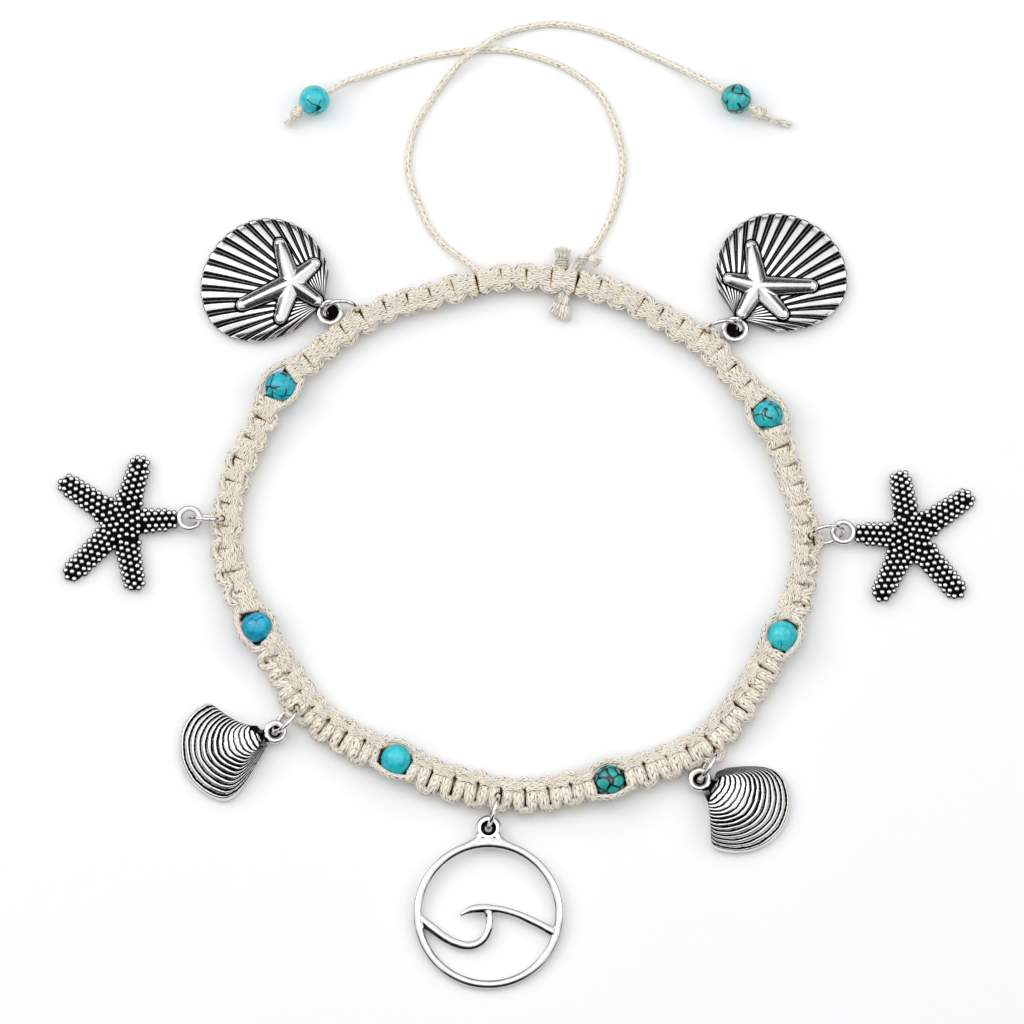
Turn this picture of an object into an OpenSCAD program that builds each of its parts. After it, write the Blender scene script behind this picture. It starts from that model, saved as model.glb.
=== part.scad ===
// A knotted cotton anklet with turquoise beads and cast sea charms, laid flat.
// Millimetres. The loop's middle is at the origin, +Y points to the closure,
// and the surface that it lies on is z = 0.

/* [Cord] */
// Diameter of the braided cotton cord
cord_d = 0.9; // [0.8:0.05:1.0]
// Half the band's width, without the swell of its knots
band_half_w = 1.95; // [1.85:0.02:2.05]
// Half the band's thickness at the top of a knot
band_half_t = 1.28; // [1.2:0.02:1.32]
// How far each knot swells to the side
knot_swell = 0.18; // [0.05:0.01:0.25]
// Height of the band's middle above the surface
band_z = 1.42; // [1.4:0.01:1.5]

/* [Beads] */
// Diameter of a turquoise bead
bead_d = 4.1; // [3.9:0.05:4.2]
// Diameter of the hole through a bead
bead_bore_d = 1.3; // [1.2:0.05:1.4]

/* [Jump rings] */
// Outer diameter of a jump ring
ring_d = 5.0; // [4.9:0.05:5.1]
// Diameter of its wire
ring_wire_d = 0.6; // [0.5:0.05:0.6]
// Height of each charm's eye, and of the cord loop that holds the ring
eye_z = 1.55; // [1.5:0.01:1.6]

/* [Scallops] */
// Diameter of the fan shell
scallop_d = 17; // [16.5:0.1:17.5]
// Number of ribs on it
scallop_ribs = 22; // [17:1:22]
// Thickness at the crown
scallop_t = 2.4; // [2.2:0.1:2.6]

/* [Clams] */
// Thickness at the crown
clam_t = 2.6; // [2.4:0.1:2.8]
// Number of growth ridges
clam_ridges = 6; // [5:1:7]

/* [Starfish] */
// Thickness of the middle, without its grains
starfish_t = 1.7; // [1.6:0.1:1.9]
// Diameter of one grain
grain_d = 1.1; // [0.8:0.05:1.2]

/* [Wave charm] */
// Outer diameter of the open disc
disc_d = 20; // [19.8:0.1:20.2]
// Width of its rim
disc_rim_w = 1.15; // [1.0:0.05:1.3]
// Thickness of its rim
disc_rim_t = 1.1; // [1.0:0.05:1.2]
// Width of the wave's line
wave_line_w = 1.1; // [1.0:0.05:1.2]

/* [Hidden] */

cord_r = cord_d / 2;
bead_r = bead_d / 2;
floor_gap = 0.02;
bead_z = bead_r + floor_gap;
fit_gap = 0.12;
wire_r = ring_wire_d / 2;
ring_r = ring_d / 2 - wire_r;

// The band's middle line, from the middle of the closure round by the left.
// Columns: x, y, width against the band's own.
BAND_ROUTE = [
    [0.0, 35.5, 0.99], [-5.9, 34.4, 1.03], [-11.8, 32.7, 0.95], [-17.7, 31.0, 0.95], [-23.1, 27.9, 1.03],
    [-27.9, 23.8, 0.97], [-31.6, 20.5, 1.0], [-34.0, 15.9, 1.03], [-36.9, 10.0, 1.0], [-38.6, 3.4, 1.05],
    [-38.4, -2.7, 1.15], [-37.0, -7.2, 1.18], [-34.7, -12.0, 1.18], [-31.0, -18.1, 1.21], [-27.5, -23.2, 1.18],
    [-22.4, -27.1, 1.21], [-16.1, -29.9, 1.23], [-8.8, -33.0, 1.23], [0.0, -34.7, 1.17], [6.0, -34.1, 1.19],
    [12.3, -32.7, 1.19], [20.8, -29.9, 1.17], [26.2, -26.7, 1.14], [30.4, -21.5, 1.13], [35.3, -13.2, 1.08],
    [37.7, -6.8, 1.02], [38.5, 0.0, 0.96], [37.1, 6.6, 1.0], [33.4, 16.6, 1.0], [29.7, 21.3, 1.02],
    [25.6, 26.0, 1.03], [19.8, 29.6, 1.0], [12.6, 33.3, 1.03], [6.5, 34.9, 1.0]
];
// The six beads sit at these rows of the route, counted from 0
BEAD_ROWS = [6, 12, 16, 20, 24, 28];
// Square knots in each stretch, from the closure round by the left
STRETCH_KNOTS = [9, 10, 8, 8, 9, 10, 10];

// Smooth closed curve through the route, with its length along it
ROUTE_STEPS = 6;
function spline(p, q, r, s, t) =
    0.5 * (2 * q + (r - p) * t + (2 * p - 5 * q + 4 * r - s) * t * t
    + (3 * q - p - 3 * r + s) * t * t * t);
route_rows = len(BAND_ROUTE);
function route_row(i) = BAND_ROUTE[(i + route_rows) % route_rows];
ROUTE = [
    for (i = [0 : route_rows - 1])
        for (k = [0 : ROUTE_STEPS - 1])
            spline(route_row(i - 1), route_row(i), route_row(i + 1), route_row(i + 2), k / ROUTE_STEPS)
];
route_points = len(ROUTE);
function route_point(i) = let (p = ROUTE[(i + route_points) % route_points]) [p[0], p[1]];
ROUTE_LENGTHS = [
    for (i = 0, s = 0; i <= route_points; s = s + norm(route_point(i + 1) - route_point(i)), i = i + 1) s
];
band_length = ROUTE_LENGTHS[route_points];
X_ALONG = [for (i = [0 : route_points]) [ROUTE_LENGTHS[i], route_point(i)[0]]];
Y_ALONG = [for (i = [0 : route_points]) [ROUTE_LENGTHS[i], route_point(i)[1]]];
WIDTH_ALONG = [for (i = [0 : route_points]) [ROUTE_LENGTHS[i], ROUTE[i % route_points][2]]];
function wrap(s) = s < 0 ? s + band_length : s > band_length ? s - band_length : s;
function band_point(s) = [lookup(wrap(s), X_ALONG), lookup(wrap(s), Y_ALONG)];
function band_tangent(s) =
    let (d = band_point(s + 0.8) - band_point(s - 0.8)) d / norm(d);
// Outward, away from the loop's middle, when the route runs anticlockwise
function band_outward(s) = let (t = band_tangent(s)) [t[1], -t[0]];
BEAD_AT = [for (row = BEAD_ROWS) ROUTE_LENGTHS[row * ROUTE_STEPS]];

// The band lies on the surface and rises to the beads' middle height
bead_rise_reach = 5;
function near_bead(s) = max([for (b = BEAD_AT) exp(-pow((s - b) / bead_rise_reach, 2))]);
function band_height(s) = band_z + (bead_z - band_z) * near_bead(wrap(s));

// Where the closure's sleeve and the band's two ends are
slide_left = 4.4;
slide_right = -7.0;
tail_gap = 1.15;
core_gap = 0.4;
band_start = slide_left + tail_gap;
band_end = band_length + slide_right - tail_gap;
bead_clear = bead_r + fit_gap + 0.05;
knots_narrow_at_bead = 0.9;
knots_narrow_at_closure = 0.62;
knots_narrow_in_sleeve = 0.85;
STRETCH_ENDS = concat([band_start], [for (b = BEAD_AT) b], [band_end]);

// One closed solid through rings of points, each ring an equal count, with flat ends
module skin(rings) {
    n = len(rings[0]);
    last = len(rings) - 1;
    points = [for (ring = rings) for (p = ring) p];
    sides = [
        for (i = [0 : last - 1])
            for (j = [0 : n - 1])
                for (half = [0, 1])
                    let (a = i * n + j, b = i * n + (j + 1) % n)
                        half == 0 ? [a, b, b + n] : [a, b + n, a + n]
    ];
    start_cap = [[for (j = [n - 1 : -1 : 0]) j]];
    end_cap = [[for (j = [0 : n - 1]) last * n + j]];
    polyhedron(points, concat(sides, start_cap, end_cap), convexity = 10);
}

// A place beside the band's middle line: outward by n, up by z from its middle
function beside(s, n, z) =
    let (p = band_point(s) + band_outward(s) * n) [p[0], p[1], band_height(s) + z];

// Section of the knotted band: the inner blocks and the outer loops swell in turn
function knot_section(s, phase, narrow) =
    let (
        swell = cos(360 * phase),
        wide = narrow * lookup(wrap(s), WIDTH_ALONG),
        inner = (band_half_w - knot_swell * 0.6 + knot_swell * 0.5 * swell) * wide,
        outer = (band_half_w + knot_swell * swell) * wide,
        block_top = band_half_t - knot_swell * (0.5 + 0.5 * swell),
        loop_top = band_half_t - knot_swell * (1.3 - 0.7 * swell),
        middle_top = band_half_t - knot_swell
    ) [
        beside(s, -inner, 0),
        beside(s, -inner * 0.72, -block_top),
        beside(s, outer * 0.76, -loop_top),
        beside(s, outer, 0),
        beside(s, outer * 0.76, loop_top),
        beside(s, 0.1, middle_top),
        beside(s, -inner * 0.72, block_top)
    ];

SECTIONS_PER_KNOT = 2;
module knots(from, to, count, narrow_start, narrow_end) {
    steps = count * SECTIONS_PER_KNOT;
    skin([
        for (i = [0 : steps])
            let (
                s = from + (to - from) * i / steps,
                end_in = min(i / 2, 1),
                end_out = min((steps - i) / 2, 1),
                narrow = min(
                    narrow_start + (1 - narrow_start) * end_in,
                    narrow_end + (1 - narrow_end) * end_out
                )
            )
            knot_section(s, i / SECTIONS_PER_KNOT, narrow)
    ]);
}

// A short stretch of cord between two places
CORD_SIDES = 7;
SIDE_CORD_SIDES = 5;
module cord_piece(from, to, r) {
    d = to - from;
    hull() {
        translate(from)
            rotate([0, acos(d[2] / norm(d)), atan2(d[1], d[0])])
                cylinder(h = 0.02, r = r, $fn = SIDE_CORD_SIDES);
        translate(to)
            rotate([0, acos(d[2] / norm(d)), atan2(d[1], d[0])])
                cylinder(h = 0.02, r = r, $fn = SIDE_CORD_SIDES);
    }
}

// A tube along a list of places, with flat ends
module swept_cord(route, r, sides) {
    last = len(route) - 1;
    skin([
        for (i = [0 : last])
            let (
                ahead = route[min(i + 1, last)] - route[max(i - 1, 0)],
                t = ahead / norm(ahead),
                side = cross(t, [0, 0, 1]) / norm(cross(t, [0, 0, 1])),
                up = cross(side, t)
            )
            [for (a = [0 : 360 / sides : 359]) route[i] + r * (cos(a) * side + sin(a) * up)]
    ]);
}

// The working cords bulge round a bead, and the core runs through it
side_cord_r = bead_r + fit_gap + cord_r + 0.04;
core_r = 0.5;
core_inset = 0.55;
core_overlap = 0.3;
side_cord_reach = 60;
side_cord_turn = 30;
side_cord_root = 0.9;
module cords_round_bead(at) {
    middle = beside(at, 0, 0);
    ahead = [band_tangent(at)[0], band_tangent(at)[1], 0];
    outward = [band_outward(at)[0], band_outward(at)[1], 0];
    for (side = [-1, 1])
        swept_cord([
            beside(at - bead_clear - side_cord_root, side * side_cord_root, 0),
            for (a = [-side_cord_reach : side_cord_turn : side_cord_reach])
                middle + side_cord_r * (sin(a) * ahead + side * cos(a) * outward),
            beside(at + bead_clear + side_cord_root, side * side_cord_root, 0)
        ], cord_r, SIDE_CORD_SIDES);
    core_reach = bead_clear + core_overlap;
    cord_piece(middle - core_reach * ahead, middle + core_reach * ahead, core_r);
}

// Where each charm hangs.
// Columns: eye x, eye y, radius of the eye's middle, ring heading from the band out,
// band's outward heading, ring's lean from flat, heading of the charm's length, then how
// far back from the eye's middle the ring's middle is, and the cord loop.
scallop_eye_r = 1.48;
starfish_eye_r = 1.35;
clam_eye_r = 1.2;
wave_eye_r = 1.35;
SCALLOP_L = [-25.0, 30.7, scallop_eye_r, 180, 120, 118, 160, 1.55, 2.75];
STARFISH_L = [-43.7, 2.8, starfish_eye_r, 178, 178, 75, 183, 2.25, 3.15];
CLAM_L = [-32.2, -26.1, clam_eye_r, 230, 216, 66, 200, 2.1, 3.0];
WAVE = [-3.8, -39.1, wave_eye_r, 253, 262, 85, 270, 2.25, 3.15];
CLAM_R = [24.3, -32.5, clam_eye_r, 239, 295, 75, -31, 2.1, 3.0];
STARFISH_R = [43.5, 0.9, starfish_eye_r, 12, 2, 70, -3, 2.25, 3.15];
SCALLOP_R = [29.1, 28.4, scallop_eye_r, 8, 50, 68, 45, 1.55, 2.75];
CHARMS = [SCALLOP_L, STARFISH_L, CLAM_L, WAVE, CLAM_R, STARFISH_R, SCALLOP_R];
function heading(a) = [cos(a), sin(a), 0];
function eye_place(c) = [c[0], c[1], eye_z];
function ring_place(c) =
    let (p = eye_place(c) - heading(c[3]) * c[7])
        [p[0], p[1], ring_r * sin(c[5]) + wire_r + floor_gap];
function loop_place(c) = eye_place(c) - heading(c[3]) * c[8];

// The cord loop at the band's edge that a jump ring hangs on
loop_reach = 1.9;
loop_depth = 1.2;
loop_cord_r = 0.42;
module ring_loop(c) {
    bisector = (c[3] + c[4]) / 2;
    mid = loop_place(c);
    along = heading(bisector + 90);
    inward = -heading(c[4]);
    swept_cord([
        mid - along * loop_reach + inward * loop_depth,
        mid - along * loop_reach * 0.55 + inward * loop_depth * 0.2,
        mid,
        mid + along * loop_reach * 0.55 + inward * loop_depth * 0.2,
        mid + along * loop_reach + inward * loop_depth
    ], loop_cord_r, SIDE_CORD_SIDES);
}

// A jump ring leaning on its lower edge, its far side in the charm's eye
ring_slot_gap = 0.17;
module jump_ring_at(c, r, sides) {
    translate(ring_place(c))
        rotate([0, 0, c[3]])
            rotate([c[5], 0, 0])
                rotate_extrude($fn = 2 * sides) translate([ring_r, 0]) circle(r = r, $fn = sides);
}

// Two eyes press a dent into the knots beside them
dent_gap = 0.15;
module eye_dent(c) {
    translate(eye_place(c))
        cylinder(h = 2 * (eye_wire_r + dent_gap) + 0.2, r = c[2] + eye_wire_r + dent_gap, center = true, $fn = 24);
}

module knotted_band() {
    color("wheat") difference() {
        union() {
            for (i = [0 : len(STRETCH_KNOTS) - 1])
                knots(
                    STRETCH_ENDS[i] + (i == 0 ? 0 : bead_clear),
                    STRETCH_ENDS[i + 1] - (i == len(STRETCH_KNOTS) - 1 ? 0 : bead_clear),
                    STRETCH_KNOTS[i],
                    i == 0 ? knots_narrow_at_closure : knots_narrow_at_bead,
                    i == len(STRETCH_KNOTS) - 1 ? knots_narrow_at_closure : knots_narrow_at_bead
                );
            for (at = BEAD_AT) cords_round_bead(at);
            for (c = CHARMS) ring_loop(c);
            cord_piece(
                beside(band_start + core_overlap, -core_inset, 0),
                beside(slide_left + core_gap, -core_inset, 0), cord_r
            );
            cord_piece(
                beside(band_end - core_overlap, -core_inset, 0),
                beside(slide_right - core_gap, -core_inset, 0), cord_r
            );
        }
        for (c = CHARMS) jump_ring_at(c, wire_r + ring_slot_gap, 6);
        for (c = [SCALLOP_L, CLAM_R]) eye_dent(c);
    }
}

// The sleeve of square knots that grips both tails, with its three trimmed ends
SLIDE_KNOTS = 4;
// Columns: x, y, z, radius
TRIM_UP = [[5.7, 35.2, 1.3, 0.7], [5.85, 36.5, 1.35, 0.82], [6.0, 38.1, 1.15, 0.85], [6.1, 39.5, 1.1, 1.05]];
TRIM_DOWN = [[6.1, 34.8, 1.3, 0.78], [6.1, 33.2, 1.3, 1.0], [6.0, 31.8, 1.3, 1.2], [5.75, 30.2, 1.0, 0.95]];
TRIM_SIDE = [[6.4, 35.3, 1.5, 0.45], [8.4, 37.9, 2.9, 0.5], [9.7, 37.8, 3.4, 0.6], [11.0, 37.0, 3.4, 0.85]];
module trimmed_end(rows) {
    for (i = [0 : len(rows) - 2]) hull() {
        for (row = [rows[i], rows[i + 1]])
            translate([row[0], row[1], row[2]]) sphere(r = row[3], $fn = 6);
    }
}
module slide_knot() {
    color("linen") union() {
        knots(slide_right, slide_left, SLIDE_KNOTS, knots_narrow_in_sleeve, knots_narrow_in_sleeve);
        for (rows = [TRIM_UP, TRIM_DOWN, TRIM_SIDE]) trimmed_end(rows);
    }
}

// A drilled round bead along a heading
module bead(place, turn, tip) {
    color("mediumturquoise") translate(place) rotate([0, 90 + tip, turn]) difference() {
        sphere(r = bead_r, $fn = 48);
        cylinder(h = bead_d * 2, d = bead_bore_d, center = true, $fn = 32);
    }
}
module band_bead(i) {
    at = BEAD_AT[i];
    t = band_tangent(at);
    bead(beside(at, 0, 0), atan2(t[1], t[0]), 0);
}
module bead_1() { band_bead(0); }
module bead_2() { band_bead(1); }
module bead_3() { band_bead(2); }
module bead_4() { band_bead(3); }
module bead_5() { band_bead(4); }
module bead_6() { band_bead(5); }

// The tail that leaves on the left, arcs over the top and ends at the right bead.
// Columns: x, y, z.
tail_z = cord_r + floor_gap;
over_z = tail_z + cord_d + 0.1;
TAIL_LEFT = [
    [-4.1, 35.2, 1.45], [-4.9, 35.6, 1.5], [-5.7, 36.7, 1.5], [-7.2, 38.0, 1.1], [-9.0, 39.4, 0.7],
    [-10.6, 41.0, tail_z], [-12.0, 43.0, tail_z], [-13.0, 45.3, tail_z], [-13.9, 47.6, tail_z],
    [-14.5, 50.0, tail_z], [-14.5, 52.4, tail_z], [-14.0, 54.9, tail_z], [-13.1, 57.2, tail_z],
    [-11.7, 59.4, tail_z], [-10.2, 61.6, 0.6], [-8.6, 63.6, 0.95], [-6.8, 65.4, over_z],
    [-4.8, 66.8, over_z], [-2.8, 68.2, 1.1], [-0.4, 69.2, 0.7], [2.0, 69.8, tail_z],
    [4.5, 70.1, tail_z], [7.1, 69.9, tail_z], [9.7, 69.4, tail_z], [12.1, 68.6, tail_z],
    [14.4, 67.6, tail_z], [16.6, 66.5, tail_z], [18.9, 65.4, tail_z], [21.2, 64.3, 0.7],
    [23.4, 63.1, 1.2], [25.4, 62.0, 1.7], [27.4, 60.75, 2.0], [29.3, 59.6, bead_z],
    [31.2, 58.45, 2.0], [32.4, 57.7, 1.6]
];
// The tail that leaves on the right and ends at the left bead
TAIL_RIGHT = [
    [6.7, 35.1, 1.45], [7.5, 35.6, 1.5], [8.3, 36.8, 1.3], [9.4, 38.4, 0.9], [10.6, 40.2, 0.6],
    [11.8, 42.3, tail_z], [12.8, 44.6, tail_z], [13.5, 47.0, tail_z], [14.0, 49.5, tail_z],
    [14.1, 52.0, tail_z], [13.6, 54.5, tail_z], [12.9, 56.9, tail_z], [11.9, 59.2, tail_z],
    [10.4, 61.3, tail_z], [8.4, 62.9, tail_z], [6.1, 64.3, tail_z], [3.7, 65.3, tail_z],
    [1.3, 66.0, tail_z], [-1.2, 66.5, tail_z], [-3.7, 66.6, tail_z], [-6.2, 66.5, tail_z],
    [-8.7, 66.2, tail_z], [-11.2, 65.8, tail_z], [-13.7, 65.2, tail_z], [-16.1, 64.5, tail_z],
    [-18.5, 63.7, 0.6], [-20.8, 62.8, 1.0], [-23.0, 61.9, 1.6], [-25.2, 60.6, 2.0],
    [-27.1, 59.4, bead_z], [-29.0, 58.2, 2.0], [-29.4, 57.7, 1.6]
];
module tail_cord_left() {
    color("antiquewhite") swept_cord(TAIL_LEFT, cord_r, CORD_SIDES);
}
module tail_cord_right() {
    color("antiquewhite") swept_cord(TAIL_RIGHT, cord_r, CORD_SIDES);
}

// A bead on a tail, drilled along the stretch of cord that runs through it
module tail_bead(route, row) {
    d = route[row + 1] - route[row - 1];
    bead(route[row], atan2(d[1], d[0]), -asin(d[2] / norm(d)));
}
module tail_bead_left() { tail_bead(TAIL_RIGHT, len(TAIL_RIGHT) - 3); }
module tail_bead_right() { tail_bead(TAIL_LEFT, len(TAIL_LEFT) - 3); }

// The overhand knot below a tail bead and the frayed end past it
// Columns: x, y, z, radius
KNOT_LEFT = [[-29.5, 57.7, 1.6, 0.68], [-30.0, 57.1, 1.1, 0.5], [-30.6, 56.3, 0.75, 0.6]];
KNOT_RIGHT = [
    [32.4, 57.8, 1.6, 0.75], [33.8, 56.9, 1.1, 0.5], [35.2, 56.7, 0.7, 0.45], [36.6, 56.4, 0.6, 0.5]
];
module tail_knot(rows) {
    color("antiquewhite") union() trimmed_end(rows);
}
module tail_knot_left() { tail_knot(KNOT_LEFT); }
module tail_knot_right() { tail_knot(KNOT_RIGHT); }

module jump_ring(c) { color("silver") jump_ring_at(c, wire_r, 24); }
module ring_scallop_left() { jump_ring(SCALLOP_L); }
module ring_starfish_left() { jump_ring(STARFISH_L); }
module ring_clam_left() { jump_ring(CLAM_L); }
module ring_wave() { jump_ring(WAVE); }
module ring_clam_right() { jump_ring(CLAM_R); }
module ring_starfish_right() { jump_ring(STARFISH_R); }
module ring_scallop_right() { jump_ring(SCALLOP_R); }

// A charm lies on the surface at its far end and on its jump ring at its eye.
// It is drawn with its eye at the origin and its length along +X, its back at -back.
module lay_charm(c, length, back) {
    tilt = asin((eye_z - back - floor_gap) / length);
    translate(eye_place(c)) rotate([0, tilt, c[6]]) children();
}

// The round eye that a jump ring passes through
eye_wire_r = 0.36;
eye_step = 45;
module eye(middle_r) {
    for (a = [0 : eye_step : 360 - eye_step]) hull() {
        for (b = [a, a + eye_step])
            translate([middle_r * cos(b), middle_r * sin(b), 0]) sphere(r = eye_wire_r, $fn = 6);
    }
}

// The stub of metal that joins the eye to a shell
module neck(middle_r, to_x, to_y) {
    hull() {
        translate([middle_r, 0, 0]) sphere(r = eye_wire_r, $fn = 6);
        translate([to_x, to_y, 0]) sphere(r = eye_wire_r, $fn = 6);
    }
}

// A fan shell: ribs run from the beak to a scalloped edge over a low dome
scallop_back = 0.5;
scallop_rim_t = 0.7;
rib_h = 0.25;
beak_x = 1.2;
beak_y = 0.9;
beak_r = 0.4;
// The fan's edge about the beak. Columns: heading, reach on a shell 17 across.
FAN_EDGE = [
    [-64, 5.2], [-58, 7.4], [-52, 9.6], [-46, 11.5], [-40, 13.2], [-34, 14.5], [-28, 15.4],
    [-16, 16.4], [-4, 16.7], [8, 16.4], [20, 15.7], [32, 14.5], [44, 12.6], [56, 10.1],
    [68, 7.0], [78, 4.4]
];
fan_from = FAN_EDGE[0][0];
fan_to = FAN_EDGE[len(FAN_EDGE) - 1][0];
fan_droop = 78;
RIB_SAMPLES = 2;
FAN_RINGS = [0.25, 0.65, 1];
// Columns: heading of an arm from the shell's middle line, its length
CAST_STAR = [[54, 6.2], [120, 4.6], [194, 4.7], [267, 5.6], [316, 7.8]];
cast_star_x = 6.0;
cast_star_y = 1.75;
function fan_place(a, reach, z) = [beak_x + reach * cos(a), beak_y + reach * sin(a), z];
function fan_height(t, across, rib) =
    scallop_rim_t + (scallop_t - scallop_rim_t - rib_h) * pow(max(0, 1 - pow(abs(t * 2 - 0.95), 2.2)), 0.8)
        * pow(cos(fan_droop * across), 0.5) + rib * rib_h * t - scallop_back;
module fan_shell() {
    steps = scallop_ribs * RIB_SAMPLES;
    skin([
        for (i = [0 : steps])
            let (
                a = fan_to + (fan_from - fan_to) * i / steps,
                rib = i % RIB_SAMPLES,
                reach = scallop_d / 17 * lookup(a, FAN_EDGE) + rib * rib_h
            )
            [
                for (t = FAN_RINGS) fan_place(a, reach * t, fan_height(t, 1 - 2 * i / steps, rib)),
                fan_place(a, reach, -scallop_back),
                fan_place(a, beak_r, -scallop_back),
                fan_place(a, beak_r, scallop_rim_t - scallop_back)
            ]
    ]);
}
module cast_star_arm(angle, length) {
    crown = scallop_t - scallop_back;
    hull() {
        for (end = [[0, 1.05], [1, 0.5]])
            translate([
                end[0] * length * cos(angle),
                end[0] * length * sin(angle),
                crown - rib_h - 0.75 * end[0]
            ]) sphere(r = end[1], $fn = 6);
    }
}
module scallop() {
    union() {
        fan_shell();
        intersection() {
            translate([cast_star_x, cast_star_y, 0])
                for (arm = CAST_STAR) cast_star_arm(arm[0], arm[1] - 0.4);
            translate([-2, -12, -scallop_back]) cube([24, 24, 6]);
        }
        eye(scallop_eye_r);
        neck(scallop_eye_r, beak_x + 0.9, beak_y);
    }
}
module scallop_right() {
    color("silver") lay_charm(SCALLOP_R, beak_x + scallop_d, scallop_back) scallop();
}
module scallop_left() {
    color("silver") lay_charm(SCALLOP_L, beak_x + scallop_d, scallop_back) mirror([0, 1, 0]) scallop();
}

// A starfish: five soft arms covered in round grains.
// Columns: heading of an arm from the star's middle, its length.
STAR_L_ARMS = [[180, 7.4], [251, 9.2], [321.5, 10.2], [42, 10.7], [98, 9.4]];
STAR_R_ARMS = [[180, 7.4], [247, 9.7], [314, 10.6], [38, 10.1], [102, 9.0]];
star_middle = 8.9;
star_reach = 8.0;
star_back = 0.6;
arm_base_r = 1.75;
arm_tip_r = 1.0;
function arm_r(t) = arm_base_r + (arm_tip_r - arm_base_r) * t;
function arm_top(t) = (starfish_t - star_back) * (1 - 0.3 * t);
module arm(angle, length) {
    for (part = [[0, 0.5], [0.5, 1]]) hull() {
        for (t = part)
            translate([t * (length - arm_tip_r) * cos(angle), t * (length - arm_tip_r) * sin(angle), -star_back])
                cylinder(h = arm_top(t) + star_back, r1 = arm_r(t), r2 = arm_r(t) * 0.7, $fn = 8);
    }
}
grain_pitch = 1.6;
grain_start = 1.5;
grain_h = 0.42;
grain_sink = 0.12;
GRAIN_SIDES = 4;
// Rows of grains across an arm, against its half width: three, and two towards the tip
function grain_rows(t) = t < 0.6 ? [-1, 0, 1] : [-0.6, 0.6];
module grains(angle, length) {
    count = floor((length - 1.1) / grain_pitch);
    for (k = [0 : count]) {
        t = (grain_start + k * grain_pitch) / (length + 0.6);
        for (row = grain_rows(t)) {
            across = row * 0.6 * arm_r(t);
            along = t * length + (row == 0 ? grain_pitch / 2 : 0);
            translate([
                along * cos(angle) - across * sin(angle),
                along * sin(angle) + across * cos(angle),
                arm_top(t) - grain_sink
            ]) cylinder(h = grain_h, r1 = grain_d / 2, r2 = 0, $fn = GRAIN_SIDES);
        }
    }
}
module starfish(arms) {
    union() {
        translate([star_middle, 0, 0]) difference() {
            union() {
                for (row = arms) {
                    arm(row[0], row[1]);
                    grains(row[0], row[1] - 0.4);
                }
            }
            translate([-20, -20, -10 - star_back]) cube([40, 40, 10]);
        }
        eye(starfish_eye_r);
    }
}
module starfish_left() {
    color("silver") lay_charm(STARFISH_L, star_middle + star_reach, star_back) starfish(STAR_L_ARMS);
}
module starfish_right() {
    color("silver") lay_charm(STARFISH_R, star_middle + star_reach, star_back) starfish(STAR_R_ARMS);
}

// A clam: growth ridges run in steps from the hinge to the edge. The two differ in outline.
// Its edge from the hinge round, columns: x, y.
CLAM_L_EDGE = [
    [1.4, 1.2], [2.9, 2.1], [4.6, 3.7], [5.8, 5.8], [6.9, 6.8], [8.4, 6.75], [10.3, 5.95],
    [11.9, 4.3], [12.85, 2.25], [13.25, 0.0], [12.85, -2.3], [11.8, -4.3], [10.3, -5.9],
    [9.0, -6.4], [7.2, -5.9], [5.1, -4.4], [3.3, -2.9], [1.6, -1.5]
];
CLAM_R_EDGE = [
    [1.4, 2.1], [2.3, 3.2], [3.4, 4.1], [5.3, 5.35], [7.0, 6.15], [8.4, 6.35], [10.0, 5.8],
    [11.6, 4.2], [12.6, 2.2], [12.95, 0.0], [12.45, -2.2], [11.3, -4.1], [9.65, -5.6],
    [7.8, -6.55], [6.4, -6.85], [5.6, -6.3], [4.3, -4.2], [2.9, -2.3], [1.5, -1.5]
];
clam_hinge_x = 1.7;
clam_hinge_share = 0.22;
clam_back = 0.5;
clam_rim_t = 0.6;
ridge_depth = 0.16;
function clam_reach(edge) = max([for (p = edge) p[0]]);
function clam_place(p, t, z) = [
    clam_hinge_x + (p[0] - clam_hinge_x) * t,
    p[1] * (clam_hinge_share + (1 - clam_hinge_share) * t),
    z
];
function clam_height(t, across) =
    clam_rim_t + (clam_t - clam_rim_t) * pow(sin(180 * pow(t, 0.75)), 0.7)
        * (0.35 + 0.65 * sin(180 * across)) - clam_back;
module clam(edge) {
    levels = clam_ridges * 2;
    union() {
        skin([
            for (i = [0 : len(edge) - 1])
                let (p = edge[i], across = (i + 1) / (len(edge) + 1))
                [
                    for (k = [1 : levels])
                        let (t = k / levels, ridge = k % 2 == 0 ? 1 : -0.2)
                        clam_place(p, t, clam_height(t, across) + ridge * ridge_depth * min(1, t * 1.6)),
                    clam_place(p, 1, -clam_back),
                    clam_place(p, 1 / levels, -clam_back)
                ]
        ]);
        eye(clam_eye_r);
        neck(clam_eye_r, clam_hinge_x + 0.7, 0);
    }
}
module clam_right() {
    color("silver") lay_charm(CLAM_R, clam_reach(CLAM_R_EDGE), clam_back) clam(CLAM_R_EDGE);
}
module clam_left() {
    color("silver") lay_charm(CLAM_L, clam_reach(CLAM_L_EDGE), clam_back) mirror([0, 1, 0]) clam(CLAM_L_EDGE);
}

// The open disc: a rounded rim, its eye, and a wave drawn in one thick line
disc_middle = 11.5;
disc_rim_r = disc_d / 2 - disc_rim_w / 2;
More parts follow.
